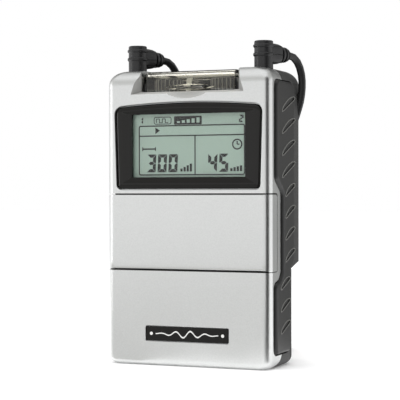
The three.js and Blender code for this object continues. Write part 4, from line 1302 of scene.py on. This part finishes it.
def dial(side_name):
    box = span(f"knob_{side_name}")
    x, y = (box.x0 + box.x1) / 2, (box.y0 + box.y1) / 2
    radius, ribs = (box.x1 - box.x0) / 2, 22
    ridged = []
    for i in range(ribs * 6):
        angle = 2 * math.pi * i / (ribs * 6)
        wave = max(0, math.cos(ribs * angle)) ** 0.6
        r = radius - 0.55 * (1 - wave)
        ridged.append((x + r * math.cos(angle), y + r * math.sin(angle)))
    rings = [(93.2, 0.35), (93.5, 0.0), (97.45, 0.0), (97.8, 0.2), (98.0, 0.5)]
    body = layers(f"dial_{side_name}", top_plane, ridged, rings)
    add(body, slab("hub", top_plane, circle(x, y, 1.5, 28), 91.3, 94))
    cut(body, well(top_plane, circle(x, y, 3.4, 48), 98, 97.5, 0.15))
    pointer = outline((x - 0.35, y - 3.2, 0.1), (x + 0.35, y - 3.2, 0.1), (x + 0.35, y - 0.6, 0.1), (x - 0.35, y - 0.6, 0.1))
    show(body, "knob_plastic", f"knob_{side_name}", [f"knob_{side_name}"])
    body.data.materials.append(RIDGE_HIGHLIGHT_PAINT)
    # The outward faces of the ribs take the lighter material: painted highlight on the ridges.
    for face in body.data.polygons:
        out = math.hypot(face.center.x / MM - x, face.center.y / MM - FRONT - y)
        if out > radius - 0.22 and abs(face.normal.z) < 0.5:
            face.material_index = 1
    mark = slab(f"dial_{side_name}_pointer", top_plane, pointer, 97.45, 97.75)
    show(mark, "white_plastic", f"knob_{side_name}", look=PALE_PRINT)


for side_name in SIDES:
    dial(side_name)


# ---------------------------------------------------------------- sockets and plugs
ARM_ANGLE = math.radians(58)
ARM_Z = 105.9


def socket(side_name, side):
    box = span(f"jack_{side_name}")
    x = side * PLUG_X
    body = block(box.x0, box.x1, box.y0, box.y1, box.z0, 98.9, 0.6)
    add(body, slab("neck", top_plane, circle(x, PLUG_Y, 3.4, 48), 98, box.z1, 0, 0.25))
    cut(body, well(top_plane, circle(x, PLUG_Y, 2.05, 36), box.z1, 88, 0.2))
    body.name = f"socket_{side_name}"
    show(body, "black_plastic", "root", [f"jack_{side_name}"])


def plug(side_name, side):
    base = Vector((side * PLUG_X, PLUG_Y, 0))
    r = 3.2
    barrel = turned("barrel", [
        (100.6, 2.95), (100.75, r), (104.95, r), (105.2, r + 0.3), (105.45, r + 0.38), (105.8, r + 0.38),
        (106.05, r + 0.3), (106.3, r), (107.95, r), (108.15, r + 0.3), (108.35, r + 0.38), (108.7, r + 0.38),
        (108.9, r + 0.3), (109.1, r + 0.02), (109.95, r), (110.2, r - 0.12), (110.3, r - 0.35), (110.3, r - 0.75),
        (110.18, r - 0.9),
    ], base, (0, 0, 1), sides=56)
    along = flat_direction(ARM_ANGLE)
    across = Vector((-along.y, along.x, 0))

    def arm_ring(distance, wide, tall, power):
        ring = []
        for a, b in circle(0, 0, 1, 40):
            a, b = (math.copysign(abs(a) ** power, a), math.copysign(abs(b) ** power, b))
            ring.append(tuple(base + along * distance + across * wide * a + Vector((0, 0, ARM_Z + 0.1 + tall * b))))
        return ring

    arm = loft("arm", [arm_ring(0, 2.9, 3.6, 0.65), arm_ring(3.6, 2.9, 3.55, 0.65), arm_ring(5.2, 2.85, 3.35, 0.65),
                       arm_ring(6.1, 2.75, 3.1, 0.7), arm_ring(6.5, 2.3, 2.6, 0.75)])
    ridges = []
    for height in (105.63, 108.53):
        reach = 2.95 if height < ARM_Z else 2.45
        ridges.append(loft("ridge", [
            [tuple(base + along * d + across * reach_now * a + Vector((0, 0, height + 0.3 * b)))
             for a, b in circle(0, 0, 1, 20)]
            for d, reach_now in ((0.5, reach + 0.35), (4.6, reach + 0.2), (6.0, reach), (6.3, reach - 0.5))]))
    relief = turned("relief", [
        (6.2, 1.6), (6.75, 1.6), (6.85, 2.65), (7.0, 2.8), (7.6, 2.77), (7.75, 2.65), (7.85, 1.6), (8.3, 1.6),
        (8.4, 2.5), (8.55, 2.62), (9.0, 2.55), (9.12, 2.45), (9.2, 1.5), (9.5, 1.5), (9.58, 2.1), (9.75, 2.2),
        (10.0, 2.05), (10.2, 1.6),
    ], base + Vector((0, 0, ARM_Z)), along, sides=40)
    bridges = [loft("bridge", [
        [tuple(base + along * d + across * (way * 1.75 + 0.32 * a) + Vector((0, 0, ARM_Z + 0.6 * b)))
         for a, b in circle(0, 0, 1, 16)] for d in (6.3, 9.6)]) for way in (-1, 1)]
    body = add(barrel, arm, *ridges, relief, *bridges)
    body.name = f"plug_{side_name}_moulding"
    show(body, "plug_plastic", f"plug_{side_name}", [f"plug_{side_name}_body"])
    pin = turned(f"plug_{side_name}_contact", [
        (89.0, 0.5), (89.2, 1.0), (89.9, 1.45), (90.6, 1.3), (91.2, 1.75), (94.0, 1.75), (94.1, 1.6), (94.6, 1.6),
        (94.7, 1.75), (100.3, 1.75),
    ], base, (0, 0, 1), sides=36)
    show(pin, "nickel", f"plug_{side_name}", [f"plug_{side_name}_pin"])
    return [body, pin]


for side_name, side in SIDES.items():
    socket(side_name, side)
    cord, path, extras = made_leads[side_name]
    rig.cord(cord, exit=at(*path[0]), length=path_length(path) * MM, diameter=CORD_D * MM, far_end="fitting",
            stiffness="limp", lay="coiled", path=metres(path),
            with_pieces=[*plug(side_name, side), *extras])


# ---------------------------------------------------------------- back: screws, belt clip, battery
def screw(name, x, z):
    box = span(name)
    body = turned(f"{name}_turned", [
        (6.0, 0.5), (6.8, 0.95), (18.3, 1.0), (18.35, 1.95), (19.0, 1.95), (19.35, 1.7), (box.y1, 1.1),
    ], (x, 0, z), (0, 1, 0), sides=32)
    cut(body, block(x - 1.25, x + 1.25, 18.95, 20, z - 0.24, z + 0.24),
        block(x - 0.24, x + 0.24, 18.95, 20, z - 1.25, z + 1.25))
    show(body, "steel", "root", [name])


for i, (x, z) in enumerate(SCREWS):
    screw(f"case_screw_{i + 1}", x, z)


def clip():
    box = span("belt_clip")
    py, pz = PIVOT.clip_y, PIVOT.clip_z
    section = outline(
        (33, box.z0 + 4.2, 0.8), (28.55, box.z0 + 3.2, 0.5), (28.3, box.z0 + 2, 0.4), (28.6, box.z0 + 0.8, 0.5),
        (33, box.z0, 0.8), (box.y1, box.z0, 1), (box.y1, box.z1, 1), (33, box.z1, 0.6), (33, pz + 2.5, 0.6),
        (py + 1.2, pz + 2.1, 0.5), (py - 0.6, pz + 2.1, 0.6), (py - 1.9, pz + 0.9, 0.6), (py - 1.9, pz - 0.9, 0.6),
        (py - 0.6, pz - 2.1, 0.6), (py + 1.2, pz - 2.1, 0.5), (33, pz - 2.5, 0.6), steps=5)
    body = slab("clip", side_plane(), section[::1], box.x0, box.x1, 0.5, 0.5, 4)
    keep(body, slab("cutter", front_plane, rectangle(box.x0, box.x1, box.z0, box.z1, 2.6, 8), 20, 40))
    lugs = pz - 3.2, pz + 3.2
    cut(body, block(6.1, 12, DEPTH - 1, 33, *lugs), block(-12, -6.1, DEPTH - 1, 33, *lugs),
        block(-2.6, 2.6, DEPTH - 1, 33, *lugs))
    cut(body, slab("cutter", side_plane(), circle(py, pz, 1, 24), -12, 12))
    for i in range(4):
        z = box.z1 - 2.2 - i * 1.5
        rib = outline((-6.5, z - 0.35, 0.3), (6.5, z - 0.35, 0.3), (6.5, z + 0.35, 0.3), (-6.5, z + 0.35, 0.3))
        cut(body, slab("cutter", front_plane, rib, box.y1 - 0.4, box.y1 + 1))
    return body


show(clip(), "black_plastic", "belt_clip", ["belt_clip"]).name = "clip_arm"
pin_box = span("clip_pin")
clip_rod = turned("clip_rod", [(pin_box.x0, 0.5), (pin_box.x0 + 0.2, 0.7), (pin_box.x1 - 0.2, 0.7), (pin_box.x1, 0.5)],
                  (0, PIVOT.clip_y, PIVOT.clip_z), (1, 0, 0), sides=28)
show(clip_rod, "steel", "root", ["clip_pin"])


def torsion_spring():
    points = []
    for i in range(6 * 20 + 1):
        angle = 2 * math.pi * i / 20
        points.append(Vector((-1.9 + 3.8 * i / 120, PIVOT.clip_y + 1.3 * math.cos(angle),
                              PIVOT.clip_z + 1.3 * math.sin(angle))))
    return cable("clip_coil_spring", points, circle(0, 0, 0.26, 10), (1, 0, 0.1))


show(torsion_spring(), "steel", "root", ["clip_spring"])


def battery_block():
    box = battery_box
    end = box.x1 - 1.6
    jacket = slab("battery_case", side_plane(), rectangle(box.y0, box.y1, box.z0, box.z1, 2), box.x0, end, 0.6, 0.3)
    show(jacket, "battery_jacket", "root", ["battery"])
    middle = (box.y0 + box.y1) / 2
    cap_plate = slab("battery_top", side_plane(), rectangle(box.y0 + 0.8, box.y1 - 0.8, box.z0 + 0.8, box.z1 - 0.8, 1.4),
                     end - 0.2, end + 0.12)
    studs = [turned("stud", [(end, 2.2), (box.x1, 2.4)], (0, middle, 10), (1, 0, 0), 28),
             turned("stud", [(end, 2.7), (end + 1, 2.9), (box.x1, 2.7)], (0, middle, 22.7), (1, 0, 0), 6)]
    show(join("battery_contacts", [cap_plate, *studs]), "nickel")
    band = slab("battery_band", side_plane(), rectangle(box.y0 - 0.03, box.y1 + 0.03, box.z0 - 0.03, box.z1 + 0.03, 2),
                box.x0 + 8, box.x0 + 17)
    show(band, "battery_jacket", look=PALE_PRINT)


battery_block()

# ---------------------------------------------------------------- pieces that keep their CAD shape
KEPT = {
    "lcd_holder": "white_plastic", "lcd_connector_strip": "keypad_rubber", "keypad_membrane": "keypad_rubber",
    "main_pcb": "pcb", "microcontroller": "chip", "output_transformer_left": "copper",
    "output_transformer_right": "copper", "capacitor": "chip", "potentiometer_left": "pcb",
    "potentiometer_right": "pcb", "battery_snap": "black_plastic", "battery_wire_red": "wire_red",
    "battery_wire_black": "cord_black", "cover_pin": "steel",
}
for node_name, slot_name in KEPT.items():
    node = frame["nodes"][node_name]
    node.data.materials.clear()
    node.data.materials.append(LOOKS[slot_name])
    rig.slot(node, slot_name)
    rounded = node.modifiers.new("round", "BEVEL")
    rounded.limit_method = "ANGLE"
    rounded.angle_limit = math.radians(50)
    rounded.width = 0.12 * MM
    rounded.segments = 2


# ---------------------------------------------------------------- floor, cards and lights
def emission(name, color, strength):
    material = bpy.data.materials.new(name)
    material.use_nodes = True
    nodes = material.node_tree.nodes
    nodes.clear()
    glow = nodes.new("ShaderNodeEmission")
    glow.inputs["Color"].default_value = (*color, 1)
    glow.inputs["Strength"].default_value = strength
    out = nodes.new("ShaderNodeOutputMaterial")
    material.node_tree.links.new(glow.outputs[0], out.inputs["Surface"])
    return material


def card(name, start, end, edges, brightness):
    """A curved studio card from one compass angle to another, which only reflections see.
    edges are the (distance, height) of its two long edges."""
    arcs = []
    for distance, height in edges:
        for i in range(13):
            angle = math.radians(start + (end - start) * i / 12)
            arcs.append((distance * math.cos(angle), distance * math.sin(angle), height))
    faces = [(i, i + 1, i + 14, i + 13) for i in range(12)]
    mesh = bpy.data.meshes.new(name)
    mesh.from_pydata([at(*v) for v in arcs], [], faces)
    piece = bpy.data.objects.new(name, mesh)
    bpy.context.scene.collection.objects.link(piece)
    piece.data.materials.append(emission(f"{name}_glow", (brightness, brightness, brightness * 0.98), 1))
    piece.visible_camera = False
    piece.visible_diffuse = False
    piece.visible_transmission = False
    piece.visible_shadow = False
    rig.stage(piece)


def area_light(name, place, target, wide, tall, watts):
    data = bpy.data.lights.new(name, "AREA")
    data.shape = "RECTANGLE"
    data.size, data.size_y = wide * MM, tall * MM
    data.energy = watts
    lamp = bpy.data.objects.new(name, data)
    bpy.context.scene.collection.objects.link(lamp)
    aim = at(*target) - at(*place)
    lamp.matrix_world = Matrix.Translation(at(*place)) @ aim.to_track_quat("-Z", "Y").to_matrix().to_4x4()
    return lamp


def studio():
    scene = bpy.context.scene
    scene.view_settings.view_transform = "Standard"
    world = bpy.data.worlds.new("studio")
    world.use_nodes = True
    world.node_tree.nodes["Background"].inputs["Color"].default_value = (1, 1, 1, 1)
    world.node_tree.nodes["Background"].inputs["Strength"].default_value = 1.0
    scene.world = world
    half = 3000
    floor = make_mesh("floor", [(-half, -half, 0), (half, -half, 0), (half, half, 0), (-half, half, 0)], [(0, 1, 2, 3)])
    pale = finish("pale_floor", (0.93, 0.93, 0.93), 0.7, grain=60, mottle=0.005, relief=0, Emission_Strength=0.1)
    floor.data.materials.append(pale)
    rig.stage(floor)
    upright, flat = ((300, 0.2), (300, 360)), ((42, 0.2), (300, 0.2))
    for kind, edges in (("upright", upright), ("flat", flat)):
        card(f"dark_card_{kind}", -50, -8, edges, 0.02)
        card(f"grey_card_{kind}", 52, 98, edges, 0.3)
    card("dark_card_left", 112, 140, upright, 0.02)
    card("front_card_flat", -175, -50, ((18, 0.2), (500, 0.2)), 0.7)
    card("front_sky_card", -178, 0, ((330, 165), (330, 420)), 0.66)
    card("back_sky_card", 0, 180, ((330, 200), (330, 700)), 0.55)
    area_light("strip_left", (-420, -160, 160), (0, 10, 60), 24, 360, 0.22)
    area_light("overhead", (-60, -40, 620), (0, 20, 40), 500, 400, 2.4).visible_glossy = False


studio()

# ---------------------------------------------------------------- size of the whole against the CAD model
visual_box = [list(corner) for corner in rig.bounds()]
with open("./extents.json", "w") as out:
    json.dump({"cad": cad_box, "visual": visual_box}, out)
